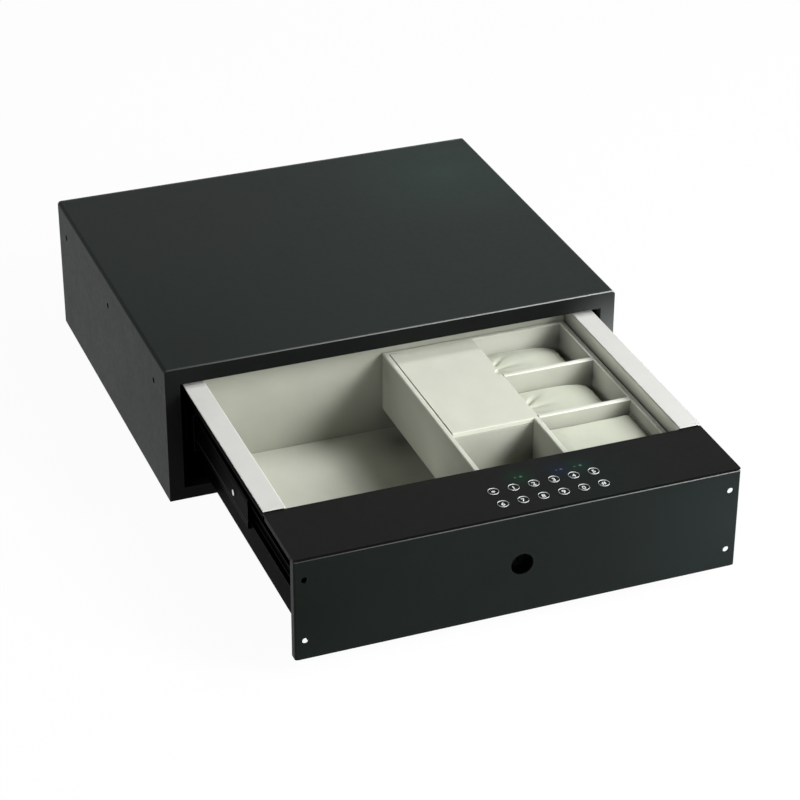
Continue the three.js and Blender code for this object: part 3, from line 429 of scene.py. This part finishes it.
# Ball cages: a bent strip with a row of bright steel balls along each edge, free to roll
# between two members. The balls stand half out of the strip in evenly spaced pockets.
ball_steel = bright_steel("ball_steel")
cage_steel = bright_steel("cage_strip_steel", "a9abab", 0.35)
ball_radius = 1.8
ball_inset = 12.5
balls_in_row = 6
slide_back = 221.0
ball_rows = {"outer": (6.0, 18.35), "inner": (7.5, 13.65)}
graph, size = tree_of("ball_row", [("Start", "NodeSocketVector"), ("Step", "NodeSocketVector"),
                                   ("Count", "NodeSocketInt"), ("Rise", "NodeSocketVector"),
                                   ("Radius", "NodeSocketFloat")])
lower = graph.node("GeometryNodeMeshLine", {"mode": "OFFSET"},
                   {"Count": size["Count"], "Start Location": size["Start"], "Offset": size["Step"]})
upper = graph.node("GeometryNodeTransform", {}, {"Geometry": lower, "Translation": size["Rise"]})
rows = graph.node("GeometryNodeJoinGeometry", {}, {})
for row in (lower, upper):
    graph.tree.links.new(row.socket, rows.socket.node.inputs[0])
ball = graph.node("GeometryNodeMeshUVSphere", {}, {"Segments": 16, "Rings": 10, "Radius": size["Radius"]})
balls = graph.node("GeometryNodeInstanceOnPoints", {}, {"Points": rows, "Instance": ball})
for side, sign in (("left", -1), ("right", 1)):
    for layer, (reach, row_rise) in ball_rows.items():
        node = f"{side}_{layer}_ball_cage"
        low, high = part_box(node)
        body = body_of(frame["nodes"][node])[0]
        strip = eased(node + "_strip", node, 0.1, 1, cage_steel, lift=60)
        x = sign * (slide_back - reach) * MM
        middle = (low.z + high.z) / 2
        start = Vector((x, low.y + ball_inset * MM, middle - row_rise * MM))
        step = (high.y - low.y) / balls_in_row
        row_of_balls = grown(node + "_balls", graph, balls, ball_steel, {
            "Start": start, "Step": (0, step, 0), "Count": balls_in_row, "Rise": (0, 0, 2 * row_rise * MM),
            "Radius": ball_radius * MM})
        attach(row_of_balls, body)


# Drawer body: 1 mm sheet folded into a trough with out-turned ledges, closed by a flanged
# back wall and by the wall of the lock box, all powder coated like the housing.
drawer_black = powder_coat("drawer_powder_black", "020202", 0.5, gloss=0.005)
for node in ("drawer_shell", "drawer_back", "lock_box_wall"):
    eased(node + "_coated", node, 0.2, 1, drawer_black)


# Ledge covers: strips of dense white foam, glued along the ledges so that the drawer's rim
# doesn't scratch. Their cut inner edges are slightly rounded and paler.
def dense_foam(name, low_code, high_code):
    """Closed cell foam: fine cells and a little soiling."""
    foam = Finish(name)
    cells = foam.grain(0.35, 2, 0.6)
    soil = foam.grain(30, 3, 0.6)
    colour = foam.mixed(soil, tone(low_code) + [1], tone(high_code) + [1])
    return foam.surface(colour, 0.82 + 0.1 * cells, foam.relief(cells, 0.02))


ledge_foam = dense_foam("ledge_white_foam", "cbcbc7", "d5d5d1")
foam_skin = dense_foam("ledge_cut_foam", "e2e4dc", "ecece6")
for side in ("left", "right"):
    node = f"{side}_ledge_cover"
    inner = min(abs(corner.x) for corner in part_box(node)) + MM
    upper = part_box(node)[1].z - MM
    eased(node + "_strip", node, 0.8, 3, ledge_foam, edge_material=foam_skin,
                  pick=lambda point: abs(point.x) < inner and point.z > upper)


# Liners: boards wrapped in cream flocked cloth and pressed against the drawer's walls and
# floor, each with its cloth turned over the edge.
def flocked(name, code, shade=0.9, tints=(), rise=None):
    """Short cream pile: hazy at a glancing view, with brushed patches and tiny clumps.

    A rise (low, high, code) fades the pile from that colour at one height to its own at another.
    """
    finish = Finish(name)
    pile = finish.grain(0.28, 2, 0.7)
    clumps = finish.grain(1.3, 3, 0.6)
    brushed = finish.grain(26, 3, 0.55, (1, 0.6, 1))
    base = tone(code)
    patchy = finish.mixed(brushed, [c * shade for c in base] + [1], [min(1, c * 1.06) for c in base] + [1])
    patchy = finish.tinted(patchy, tints)
    if rise:
        height = finish.node("ShaderNodeSeparateXYZ", {}, {0: finish.place}, 2)
        up = ((height - rise[0] * MM) / ((rise[1] - rise[0]) * MM)).clipped()
        patchy = finish.mixed(up, tone(rise[2]) + [1], patchy)
    colour = finish.mixed(clumps * 0.25, patchy, [c * 0.85 for c in base] + [1])
    nap = finish.relief(clumps, 0.06, finish.relief(pile, 0.05))
    return finish.surface(colour, 0.86 + 0.12 * pile, nap, **{
        "Specular IOR Level": 0.2, "Sheen Weight": 0.12, "Sheen Roughness": 0.5})


# The liners are one cream flock, painted darker on the left, back and front boards as shade and paler on the
# floor and the right board as light.
liner_cloth = flocked("liner_cream_flock", "a6a89c")
# The floor board has painted light in its middle and a painted shadow beside the tray.
floor_shadow_by_tray = (4, -212, 22)
floor_light_middle = (-85, -245, 22)
floor_cloth = flocked("floor_cream_flock", "cfd1c4", tints=(
    (floor_light_middle, 90, "f0f2e6"), (floor_shadow_by_tray, 75, "3a3b30")))
# The right board has a painted shadow at its back end and painted shade that deepens down towards the tray.
liner_shadow_back_end = (206, -185, 105)
pale_cloth = flocked("right_cream_flock", "f4f6ea", tints=((liner_shadow_back_end, 110, "15160f"),),
                     rise=(108, 126, "4c4d42"))
for node, cloth in (("left_liner", liner_cloth), ("right_liner", pale_cloth), ("back_liner", liner_cloth),
                    ("front_liner", liner_cloth), ("floor_liner", floor_cloth)):
    eased(node + "_board", node, 0.4, 2, cloth, True)


# Front panel: 1.5 mm sheet with folded side returns, four screw holes and a large hole for
# the emergency key. Its face has painted shade on the left and painted light on the right. Its
# cut upper edge is rubbed thin and carries a painted highlight, both more so towards the right.
# Painted shade on the panel's left and painted light on its right.
panel_shade_left = (-228.4, -546.2, 70)
panel_light_right = (228.4, -546.2, 70)
panel_black = powder_coat("panel_powder_black", "101513", 0.46, (
    (panel_shade_left, 220, "060c08"), (panel_light_right, 260, "1e2524")), 0.07)
panel_edge = rubbed_and_lit_edge("panel_edge_rubbed", "2a2c2b", "787a79")
panel_end = 226
eased("front_panel_coated", "front_panel", 0.4, 2, panel_black, edge_material=panel_edge,
              pick=lambda point: point.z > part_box("front_panel")[1].z - MM or abs(point.x) > panel_end * MM,
              rim_depth=1)


# Keypad deck: a sheet cover over the lock box, hemmed along its front edge a little behind the
# panel's. Twelve touch keys, each a thin ring round a number, and small signal lights are
# printed on it.
deck_height = 127.5
light_green = (20.4, -484.3, deck_height)
light_blue = (62.0, -485.6, deck_height)
light_green_right = (83.3, -485.6, deck_height)
deck_middle = (95, -515, deck_height)
deck_black = powder_coat("deck_powder_black", "0c0c0b", 0.5, (
    (deck_middle, 130, "091412"), (light_green, 26, "0c2418"), (light_blue, 24, "0e1828"),
    (light_green_right, 24, "0c241c")), 0.04)
# The deck's eased edges have a paler coat, a painted highlight.
deck_edge = powder_coat("deck_edge_black", "4c4f4e", 0.4, gloss=0.2)
deck_setback = 2.2
deck_hem = 7
hem_thickness = 1.5
hem_side_gap = 3.3
deck_sheet_below = 1.4
step_run = 0.02
face_slack = 0.1


def split_at(work, axis, places):
    """Cuts a mesh across an axis, twice at each place, so that a steep step can be made there."""
    along = Vector([1 if k == axis else 0 for k in range(3)])
    for place in places:
        for shift in (-step_run / 2, step_run / 2):
            whole = work.verts[:] + work.edges[:] + work.faces[:]
            bmesh.ops.bisect_plane(work, geom=whole, plane_co=along * (place + shift * MM), plane_no=along)


def behind_panel(work):
    """Moves the deck's front edge back and hems it, so that the panel's cut edge stands free."""
    low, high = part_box("deck_cover")
    inside = high.x - hem_side_gap * MM
    hem_back = low.y + (deck_setback + hem_thickness) * MM
    under = high.z - deck_sheet_below * MM
    split_at(work, 0, (-inside, inside))
    split_at(work, 1, (hem_back,))
    for vertex in work.verts:
        if vertex.co.y < hem_back and abs(vertex.co.x) < inside and vertex.co.z < under:
            vertex.co.z = high.z - deck_hem * MM
        if vertex.co.y < low.y + face_slack * MM:
            vertex.co.y += deck_setback * MM


eased("deck_cover_coated", "deck_cover", 0.35, 2, deck_black, edge_material=deck_edge,
              reshape=behind_panel)

key_left_x = -11.8
key_pitch_x = 20.92
key_rows_y = (-500.3, -523.8)
key_ring = 12.4
key_line = 1.6
key_columns = 6
key_film = 0.1
print_lift = 0.03
deck_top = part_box("deck_cover")[1].z


def print_ink(name, code):
    """Screen printed ink, slightly gritty."""
    finish = Finish(name)
    grit = finish.grain(0.3, 2)
    base = tone(code)
    colour = finish.mixed(grit, [c * 0.88 for c in base] + [1], base + [1])
    return finish.surface(colour, 0.4 + 0.1 * grit, finish.relief(grit, 0.01))


key_white = print_ink("key_print_white", "dfe3e0")
graph, size = tree_of("key_rings", [("Centre", "NodeSocketVector"), ("Width", "NodeSocketFloat"),
                                    ("Depth", "NodeSocketFloat"), ("Radius", "NodeSocketFloat"),
                                    ("Line", "NodeSocketFloat"), ("Film", "NodeSocketFloat")])
grid = graph.node("GeometryNodeMeshGrid", {}, {"Size X": size["Width"], "Size Y": size["Depth"],
                                               "Vertices X": key_columns, "Vertices Y": 2})
keys = graph.node("GeometryNodeTransform", {}, {"Geometry": grid, "Translation": size["Centre"]})
round_line = graph.node("GeometryNodeCurvePrimitiveCircle", {},
                        {"Resolution": 40, "Radius": size["Radius"]})
section = graph.node("GeometryNodeCurvePrimitiveQuadrilateral", {},
                     {"Width": size["Film"], "Height": size["Line"]})
ring = graph.node("GeometryNodeCurveToMesh", {}, {"Curve": round_line, "Profile Curve": section})
rings = graph.node("GeometryNodeInstanceOnPoints", {}, {"Points": keys, "Instance": ring})
keys_width = (key_columns - 1) * key_pitch_x
keys_centre = Vector(((key_left_x + keys_width / 2) * MM, sum(key_rows_y) / 2 * MM,
                      deck_top + print_lift * MM))
key_rings = grown("key_rings", graph, rings, key_white, {
    "Centre": keys_centre, "Width": keys_width * MM, "Depth": (key_rows_y[0] - key_rows_y[1]) * MM,
    "Radius": (key_ring - key_line) / 2 * MM, "Line": key_line * MM, "Film": key_film * MM})
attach(key_rings, "drawer")


font_scale = 1.35
print_depth = 0.04
stroke_gain = 0.13


def printed(name, marks, height, ink):
    """Flat signs on the deck, each (sign, x, y) in millimetres, joined into one mesh."""
    whole = bmesh.new()
    for sign, x, y in marks:
        text = bpy.data.curves.new(name + "_text", "FONT")
        text.body = sign
        text.align_x = "CENTER"
        text.align_y = "CENTER"
        text.size = height * MM * font_scale
        text.extrude = print_depth * MM
        text.offset = stroke_gain * MM
        holder = bpy.data.objects.new(name + "_text", text)
        bpy.context.scene.collection.objects.link(holder)
        bpy.context.view_layer.update()
        ready = holder.evaluated_get(bpy.context.evaluated_depsgraph_get())
        mesh = bpy.data.meshes.new_from_object(ready)
        points = [v.co for v in mesh.vertices]
        centre = Vector([(min(p[i] for p in points) + max(p[i] for p in points)) / 2 for i in range(3)])
        mesh.transform(Matrix.Translation(Vector((x * MM, y * MM, deck_top + print_lift * MM)) - centre))
        whole.from_mesh(mesh)
        bpy.data.objects.remove(holder)
    bmesh.ops.remove_doubles(whole, verts=whole.verts, dist=1e-7)
    bmesh.ops.recalc_face_normals(whole, faces=whole.faces)
    mesh = bpy.data.meshes.new(name)
    whole.to_mesh(mesh)
    whole.free()
    mesh.materials.append(ink)
    piece = bpy.data.objects.new(name, mesh)
    bpy.context.scene.collection.objects.link(piece)
    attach(piece, "drawer")
    return piece


sign_height = 5.6
signs = []
for row_y, row_signs in zip(key_rows_y, ("*12345", "67890#")):
    for k, sign in enumerate(row_signs):
        signs.append((sign, key_left_x + k * key_pitch_x, row_y))
printed("key_signs", signs, sign_height, key_white)
signal_height = 5
green_signs = []
for light, left_step, right_step in ((light_green, 3, 3), (light_green_right, 4, 2)):
    green_signs.append(("-", light[0] - left_step, light[1]))
    green_signs.append(("+", light[0] + right_step, light[1]))
blue_signs = [("-", light_blue[0] - 2, light_blue[1]), ("+", light_blue[0] + 3, light_blue[1])]
printed("signal_green", green_signs, signal_height, print_ink("signal_green", "1d5c42"))
printed("signal_blue", blue_signs, signal_height, print_ink("signal_blue", "263252"))


# Lock: a zinc plated steel case over the bolt, a small motor beside it, and a brass key
# cylinder behind the panel's hole, with a turning plug; cylinder and plug are painted black,
# as the shade inside the hole.
case_steel = bright_steel("lock_case_zinc", "8d9090", 0.4)
# This black stands in for the shade inside the key hole.
key_shade_black = powder_coat("key_lock_black", "040404", 0.6, gloss=0.02)
eased("lock_case_plated", "lock_case", 0.8, 2, case_steel)
eased("lock_bolt_ground", "lock_bolt", 0.5, 2, ball_steel)
eased("lock_motor_can", "lock_motor", 0.6, 2, case_steel)
eased("key_lock_body_turned", "key_lock_body", 0.3, 2, key_shade_black)
eased("key_plug_turned", "key_plug", 0.2, 2, key_shade_black)


# Battery box and circuit board: a moulded tray for four cells on the drawer's floor, and the
# touch board that hangs from the deck on four posts.
def moulded(name, code, roughness=0.5):
    """Matt plastic: a fine grain from the mould and faint flow marks."""
    finish = Finish(name)
    skin = finish.grain(0.6, 2)
    flow = finish.grain(20, 2)
    base = tone(code)
    colour = finish.mixed(flow, [c * 0.85 for c in base] + [1], [c * 1.15 for c in base] + [1])
    return finish.surface(colour, roughness + 0.12 * skin, finish.relief(skin, 0.02))


black_plastic = moulded("black_plastic", "1b1c1c")
eased("battery_box_moulded", "battery_box", 0.5, 2, black_plastic)
board_lacquer = moulded("board_lacquer", "1d5238", 0.35)
eased("circuit_board_lacquered", "circuit_board", 0.15, 1, board_lacquer)


# Storage tray: boards wrapped in cream flocked cloth and glued at their corners, standing on
# two dark strips above the drawer's floor. The dividers are separate boards of the same kind,
# and the one in the middle is rebated below the lid, which lies over it.
# The walls' and dividers' cloth is painted darker than the lid's, as shade. The tray has painted light on its
# right wall and the front of its left wall, painted shade at the back of its left wall, and painted shade
# down in the bays' corners.
tray_light_right = (184, -300, 90)
tray_shade_left_back = (-6, -195, 95)
tray_light_left_front = (-6, -335, 55)
tray_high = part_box("tray_body")[1]
tray_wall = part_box("tray_centre_divider")[1].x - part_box("tray_centre_divider")[0].x
rear_corner = (tray_high - Vector((tray_wall, tray_wall, 20 * MM))) / MM
bay_corners = [Vector((rear_corner.x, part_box(f"tray_{bay}_cross_divider")[0].y / MM, rear_corner.z))
               for bay in ("rear", "front")]
open_bay_shade_corner = (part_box("tray_centre_divider")[0].x / MM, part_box("tray_lid_rest_wall")[0].y / MM, 70)
corner_dark = "1c1d14"
corner_shade = [(rear_corner, 58, corner_dark)] + [(corner, 40, corner_dark) for corner in bay_corners]
tray_cloth = flocked("tray_cream_flock", "b5b7ac", tints=[
    (tray_light_right, 200, "eceee2"), (tray_shade_left_back, 70, "7c7e70"),
    (tray_light_left_front, 120, "f0f2e6")] + corner_shade)
divider_cloth = flocked("divider_cream_flock", "b0b2a6",
                        tints=corner_shade + [(open_bay_shade_corner, 55, corner_dark)])
# The rims' paler cloth is a painted highlight, brightest along the right wall.
rim_light_back = (199, -270, 113)
rim_light_front = (199, -395, 113)
rim_cloth = flocked("rim_cream_flock", "cfd2c4", tints=(
    (rim_light_back, 120, "fffff6"), (rim_light_front, 150, "fffff6")))
tray_back_gap = 1.3


def back_gap(work):
    """Draws the tray's outer back face in, which leaves a dark line before the drawer's liner."""
    for vertex in work.verts:
        if vertex.co.y > tray_high.y - face_slack * MM:
            vertex.co.y -= tray_back_gap * MM


rim_depth = 1.5
eased("tray_body_wrapped", "tray_body", 1.5, 4, tray_cloth, True, edge_material=rim_cloth,
              rim_depth=rim_depth, reshape=back_gap)
lid_low, lid_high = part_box("tray_lid")
lid_seat = 0.3
notch_reach = 6
notch_fall = 9
lid_points = [v.co for v in frame["nodes"]["tray_lid"].data.vertices]
notch_y = [p.y for p in lid_points if lid_high.x - notch_reach * MM < p.x < lid_high.x - MM]


def rebated(work):
    """Lowers the board's upper edge along the lid, and once more below the finger notch."""
    ends = (lid_low.y - lid_seat * MM, lid_high.y + lid_seat * MM)
    notch = (min(notch_y), max(notch_y))
    split_at(work, 1, ends + notch)
    for vertex in work.verts:
        if vertex.co.z > lid_low.z and ends[0] < vertex.co.y < ends[1]:
            vertex.co.z = lid_low.z - lid_seat * MM
            if notch[0] < vertex.co.y < notch[1]:
                vertex.co.z -= notch_fall * MM


for node, rim, depth in (("tray_lid_rest_wall", None, 0),
                         ("tray_front_cross_divider", rim_cloth, rim_depth),
                         ("tray_rear_cross_divider", rim_cloth, rim_depth)):
    left, right_end = [corner.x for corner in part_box(node)]
    eased(node + "_wrapped", node, 1.4, 4, divider_cloth, True, edge_material=rim, rim_depth=depth,
                  pick=lambda point: left + MM < point.x < right_end - MM)
divider_low, divider_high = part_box("tray_centre_divider")
eased("tray_centre_divider_wrapped", "tray_centre_divider", 1.4, 4, divider_cloth, True,
              edge_material=rim_cloth, rim_depth=rim_depth, reshape=rebated,
              pick=lambda point: divider_low.y + MM < point.y < lid_low.y - MM)
for node in ("front_tray_riser", "rear_tray_riser"):
    eased(node + "_strip", node, 0.6, 2, black_plastic)


# Lid: a thin wrapped board that turns on its own cloth along the back edge and lies over the
# middle divider, with a finger notch in its right edge.
lid_cloth = flocked("lid_cream_flock", "d2d5c6")


def over_divider(work):
    """Widens the lid across the divider and takes the finger notch along with its edge."""
    for vertex in work.verts:
        if vertex.co.x > lid_high.x - notch_reach * MM:
            vertex.co.x += divider_high.x - lid_high.x - lid_seat * MM


def lid_front(point):
    """The lid's upper edges that are in view: its front one and its right one."""
    return point.z > lid_high.z - face_slack * MM and (
        point.y < lid_low.y + face_slack * MM or point.x > lid_high.x)


eased("tray_lid_wrapped", "tray_lid", 0.8, 3, lid_cloth, pick=lid_front, reshape=over_divider)


# Pad and watch pillows: cut foam and stuffing inside sewn cream cloth. Each pillow is gathered
# in pleats at its left end and piped round its right one; the pad is stitched along its right
# edge. They are swollen by a cloth simulation and kept inside their bays.
cloth_moments = 20
pleat_reach = 26
pleat_depth = 3.4
sag_depth = 0.5
sag_grain = 60
firm_from = 0.2


def cushion(name, node, shrink, voxel, pressure, cap, material, pleats=0, firm=0):
    """A stuffed piece for a CAD node: shrunk, divided evenly, swollen and held inside the solid's box.

    Lengths are in millimetres. The swelling ends at cap, pleats are folds gathered at the left
    end, and firm is the length over which the swelling fades out before the right end.
    """
    low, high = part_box(node)
    middle = (low + high) / 2
    mesh = frame["nodes"][node].data.copy()
    mesh.name = name
    work = bmesh.new()
    work.from_mesh(mesh)
    bmesh.ops.remove_doubles(work, verts=work.verts, dist=merge_within)
    for vertex in work.verts:
        for axis in range(3):
            span = (high[axis] - low[axis]) / 2
            vertex.co[axis] = middle[axis] + (vertex.co[axis] - middle[axis]) * (1 - shrink * MM / span)
    work.to_mesh(mesh)
    work.free()
    piece = bpy.data.objects.new(name, mesh)
    bpy.context.scene.collection.objects.link(piece)
    even = piece.modifiers.new("even", "REMESH")
    even.mode = "VOXEL"
    even.voxel_size = voxel * MM
    even.use_smooth_shade = True
    bpy.context.view_layer.update()
    ready = piece.evaluated_get(bpy.context.evaluated_depsgraph_get())
    mesh = bpy.data.meshes.new_from_object(ready)
    piece.modifiers.clear()
    piece.data = mesh
    start = [v.co.copy() for v in mesh.vertices]
    cloth = piece.modifiers.new("cloth", "CLOTH")
    cloth.settings.use_pressure = True
    cloth.settings.uniform_pressure_force = pressure
    cloth.settings.effector_weights.gravity = 0
    cloth.settings.tension_stiffness = 25
    cloth.settings.compression_stiffness = 20
    cloth.settings.bending_stiffness = 0.4
    cloth.point_cache.frame_start = 1
    cloth.point_cache.frame_end = cloth_moments
    for moment in range(1, cloth_moments + 1):
        bpy.context.scene.frame_set(moment)
    ready = piece.evaluated_get(bpy.context.evaluated_depsgraph_get())
    swollen = [v.co.copy() for v in ready.data.vertices]
    piece.modifiers.clear()
    bpy.context.scene.frame_set(1)
    for vertex, was, now in zip(mesh.vertices, start, swollen):
        step = now - was
        if step.length > cap * MM:
            step *= cap * MM / step.length
        if firm:
            step *= min(max((high.x - was.x) / (firm * MM) - firm_from, 0), 1)
        vertex.co = was + step
    for vertex in mesh.vertices:
        for axis in range(3):
            vertex.co[axis] = min(max(vertex.co[axis], low[axis]), high[axis])
        if pleats and vertex.co.z > middle.z:
            along = vertex.co.x - low.x
            across = vertex.co.y - middle.y
            reach = math.hypot(along, across)
            turn = math.atan2(across, along)
            fold = math.exp(-(reach / (pleat_reach * MM)) ** 2) * (0.5 + 0.5 * math.cos(pleats * turn)) ** 3
            sag = noise.noise(vertex.co * sag_grain) * sag_depth * MM
            vertex.co.z -= pleat_depth * MM * fold + max(0, sag)
    mesh.materials.clear()
    mesh.materials.append(material)
    for polygon in mesh.polygons:
        polygon.use_smooth = True
    smooth = piece.modifiers.new("smooth", "SUBSURF")
    smooth.levels = 1
    smooth.render_levels = 1
    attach(piece, body_of(frame["nodes"][node])[0])
    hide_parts(node)
    return piece


pillow_cloth = flocked("pillow_cream_flock", "d2d6c5")
# The piping's paler cloth is a painted highlight along the pillows' right ends.
piping_cloth = flocked("piping_cream_flock", "dfe2d5")
piping_inset = 3.2
piping_radius = 0.7
piping_sink = 0.35
piping_turns = 72
for bay in ("front", "rear"):
    stuffed = cushion(f"{bay}_pillow_stuffed", f"{bay}_pillow", 0.7, 2, 2, 1.8, pillow_cloth, 9, 26)
    low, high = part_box(f"{bay}_pillow")
    centre = Vector((high.x - piping_inset * MM, (low.y + high.y) / 2, (low.z + high.z) / 2))
    slice_of = bmesh.new()
    slice_of.from_mesh(stuffed.data)
    whole = slice_of.verts[:] + slice_of.edges[:] + slice_of.faces[:]
    made = bmesh.ops.bisect_plane(slice_of, geom=whole, plane_co=centre, plane_no=(1, 0, 0))["geom_cut"]
    outline = [v.co - centre for v in made if isinstance(v, bmesh.types.BMVert)]
    outline = [(math.atan2(p.z, p.y) % math.tau, p.length) for p in outline]
    slice_of.free()
    welt = bpy.data.curves.new(f"{bay}_pillow_welt", "CURVE")
    welt.dimensions = "3D"
    welt.bevel_depth = piping_radius * MM
    welt.bevel_resolution = 3
    ring = welt.splines.new("POLY")
    ring.points.add(piping_turns - 1)
    ring.use_cyclic_u = True
    for k in range(piping_turns):
        heading = math.tau * k / piping_turns
        near = sorted(outline, key=lambda p: abs((p[0] - heading + math.pi) % math.tau - math.pi))[:3]
        reach = sum(p[1] for p in near) / 3 - piping_sink * MM
        spot = centre + Vector((0, math.cos(heading), math.sin(heading))) * reach
        ring.points[k].co = (*spot, 1)
    holder = bpy.data.objects.new(f"{bay}_pillow_welt", welt)
    bpy.context.scene.collection.objects.link(holder)
    bpy.context.view_layer.update()
    mesh = bpy.data.meshes.new_from_object(holder.evaluated_get(bpy.context.evaluated_depsgraph_get()))
    bpy.data.objects.remove(holder)
    mesh.materials.clear()
    mesh.materials.append(piping_cloth)
    for polygon in mesh.polygons:
        polygon.use_smooth = True
    welt_piece = bpy.data.objects.new(f"{bay}_pillow_piping", mesh)
    bpy.context.scene.collection.objects.link(welt_piece)
    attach(welt_piece, f"{bay}_watch_pillow")
cushion("front_pad_covered", "front_pad", 1.5, 3, 2, 3, pillow_cloth)

stitch_count = 13
stitch_step = 5.6
stitch_radius = 1.6
thread_radius = 0.35
stitch_lean = 0.35
stitch_inset = 2.6
stitch_start = 5
stitch_sink = 0.9
stitch_thread = flocked("stitch_thread", "a9ac9c")
graph, size = tree_of("pad_stitches", [("First", "NodeSocketVector"), ("Step", "NodeSocketVector"),
                                       ("Count", "NodeSocketInt"), ("Radius", "NodeSocketFloat"),
                                       ("Thread", "NodeSocketFloat"), ("Spread", "NodeSocketFloat")])
places = graph.node("GeometryNodeMeshLine", {"mode": "OFFSET"},
                    {"Count": size["Count"], "Start Location": size["First"], "Offset": size["Step"]})
loop = graph.node("GeometryNodeCurvePrimitiveCircle", {}, {"Resolution": 14, "Radius": size["Radius"]})
strand = graph.node("GeometryNodeCurvePrimitiveCircle", {}, {"Resolution": 6, "Radius": size["Thread"]})
stitch = graph.node("GeometryNodeCurveToMesh", {}, {"Curve": loop, "Profile Curve": strand})
lean = graph.node("FunctionNodeRandomValue", {"data_type": "FLOAT"},
                  {2: size["Spread"] * -1, 3: size["Spread"], "Seed": 7}, 1)
turned = graph.node("ShaderNodeCombineXYZ", {}, {"X": math.pi / 2, "Y": lean, "Z": lean})
stitches = graph.node("GeometryNodeInstanceOnPoints", {},
                      {"Points": places, "Instance": stitch, "Rotation": turned})
pad_low, pad_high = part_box("front_pad")
pad_stitches = grown("pad_stitches", graph, stitches, stitch_thread, {
    "First": (pad_high.x - stitch_inset * MM, pad_low.y + stitch_start * MM, pad_high.z - stitch_sink * MM),
    "Step": (0, stitch_step * MM, 0), "Count": stitch_count, "Radius": stitch_radius * MM,
    "Thread": thread_radius * MM, "Spread": stitch_lean})
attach(pad_stitches, "tray")


# Floor and studio: a white floor that goes over into a white surround for the camera, with the
# safe's soft shadow kept. Three round lamps stand in front on the right, one high on the right,
# one on the left and a weak one behind.
floor_mesh = bpy.data.meshes.new("floor")
span = 12
corners = [(-span, -span, 0), (span, -span, 0), (span, span, 0), (-span, span, 0)]
floor_mesh.from_pydata(corners, [], [(0, 1, 2, 3)])
floor = bpy.data.objects.new("floor", floor_mesh)
bpy.context.scene.collection.objects.link(floor)
floor_paint = bpy.data.materials.new("floor_white")
floor_paint.use_nodes = True
floor_paint.node_tree.nodes.clear()
paint = Graph(floor_paint.node_tree)
seen = paint.node("ShaderNodeLightPath", {}, {}, 0)
mirrored = paint.node("ShaderNodeLightPath", {}, {}, 3)
matt = paint.node("ShaderNodeBsdfDiffuse", {}, {"Color": (0.92, 0.92, 0.92, 1)})
glow = paint.node("ShaderNodeEmission", {}, {"Color": (1, 1, 1, 1), "Strength": 1.0})
glow_share = 0.96
share = (seen + mirrored).clipped() * glow_share
surface = paint.node("ShaderNodeMixShader", {}, {0: share, 1: matt, 2: glow})
paint.node("ShaderNodeOutputMaterial", {}, {"Surface": surface})
floor_mesh.materials.append(floor_paint)

world = bpy.data.worlds.new("studio")
bpy.context.scene.world = world
world.use_nodes = True
world.node_tree.nodes.clear()
sky = Graph(world.node_tree)
seen = sky.node("ShaderNodeLightPath", {}, {}, 0)
mirrored = sky.node("ShaderNodeLightPath", {}, {}, 3)
white = sky.node("ShaderNodeBackground", {}, {"Color": (1, 1, 1, 1), "Strength": 1.0})
fill = sky.node("ShaderNodeBackground", {}, {"Color": (1, 1, 1, 1), "Strength": 0.01})
both_skies = sky.node("ShaderNodeMixShader", {}, {0: (seen + mirrored).clipped(), 1: fill, 2: white})
sky.node("ShaderNodeOutputWorld", {}, {"Surface": both_skies})


def lamp(name, place, aim, size, power):
    """A round soft lamp of that width in metres and that power in watts."""
    data = bpy.data.lights.new(name, "AREA")
    data.shape = "DISK"
    data.size = size
    data.energy = power
    made = bpy.data.objects.new(name, data)
    bpy.context.scene.collection.objects.link(made)
    made.location = place
    made.rotation_euler = (Vector(aim) - Vector(place)).to_track_quat("-Z", "Y").to_euler()


aim = (0, -0.2, 0.06)
lamp("main_lamp", (1.86, -2.06, 1.88), aim, 1.2, 80)
lamp("low_lamp", (1.74, -2.69, 1.06), aim, 1.4, 59)
lamp("front_lamp", (0.31, -3.25, 0.98), aim, 1.4, 17)
lamp("upper_lamp", (1.64, -0.47, 2.79), aim, 1.2, 35)
lamp("left_lamp", (-2.66, -1.53, 1.25), aim, 1.4, 21)
lamp("rear_lamp", (1.31, 2.41, 1.37), aim, 1.1, 3)

bpy.context.scene.view_settings.view_transform = "Standard"
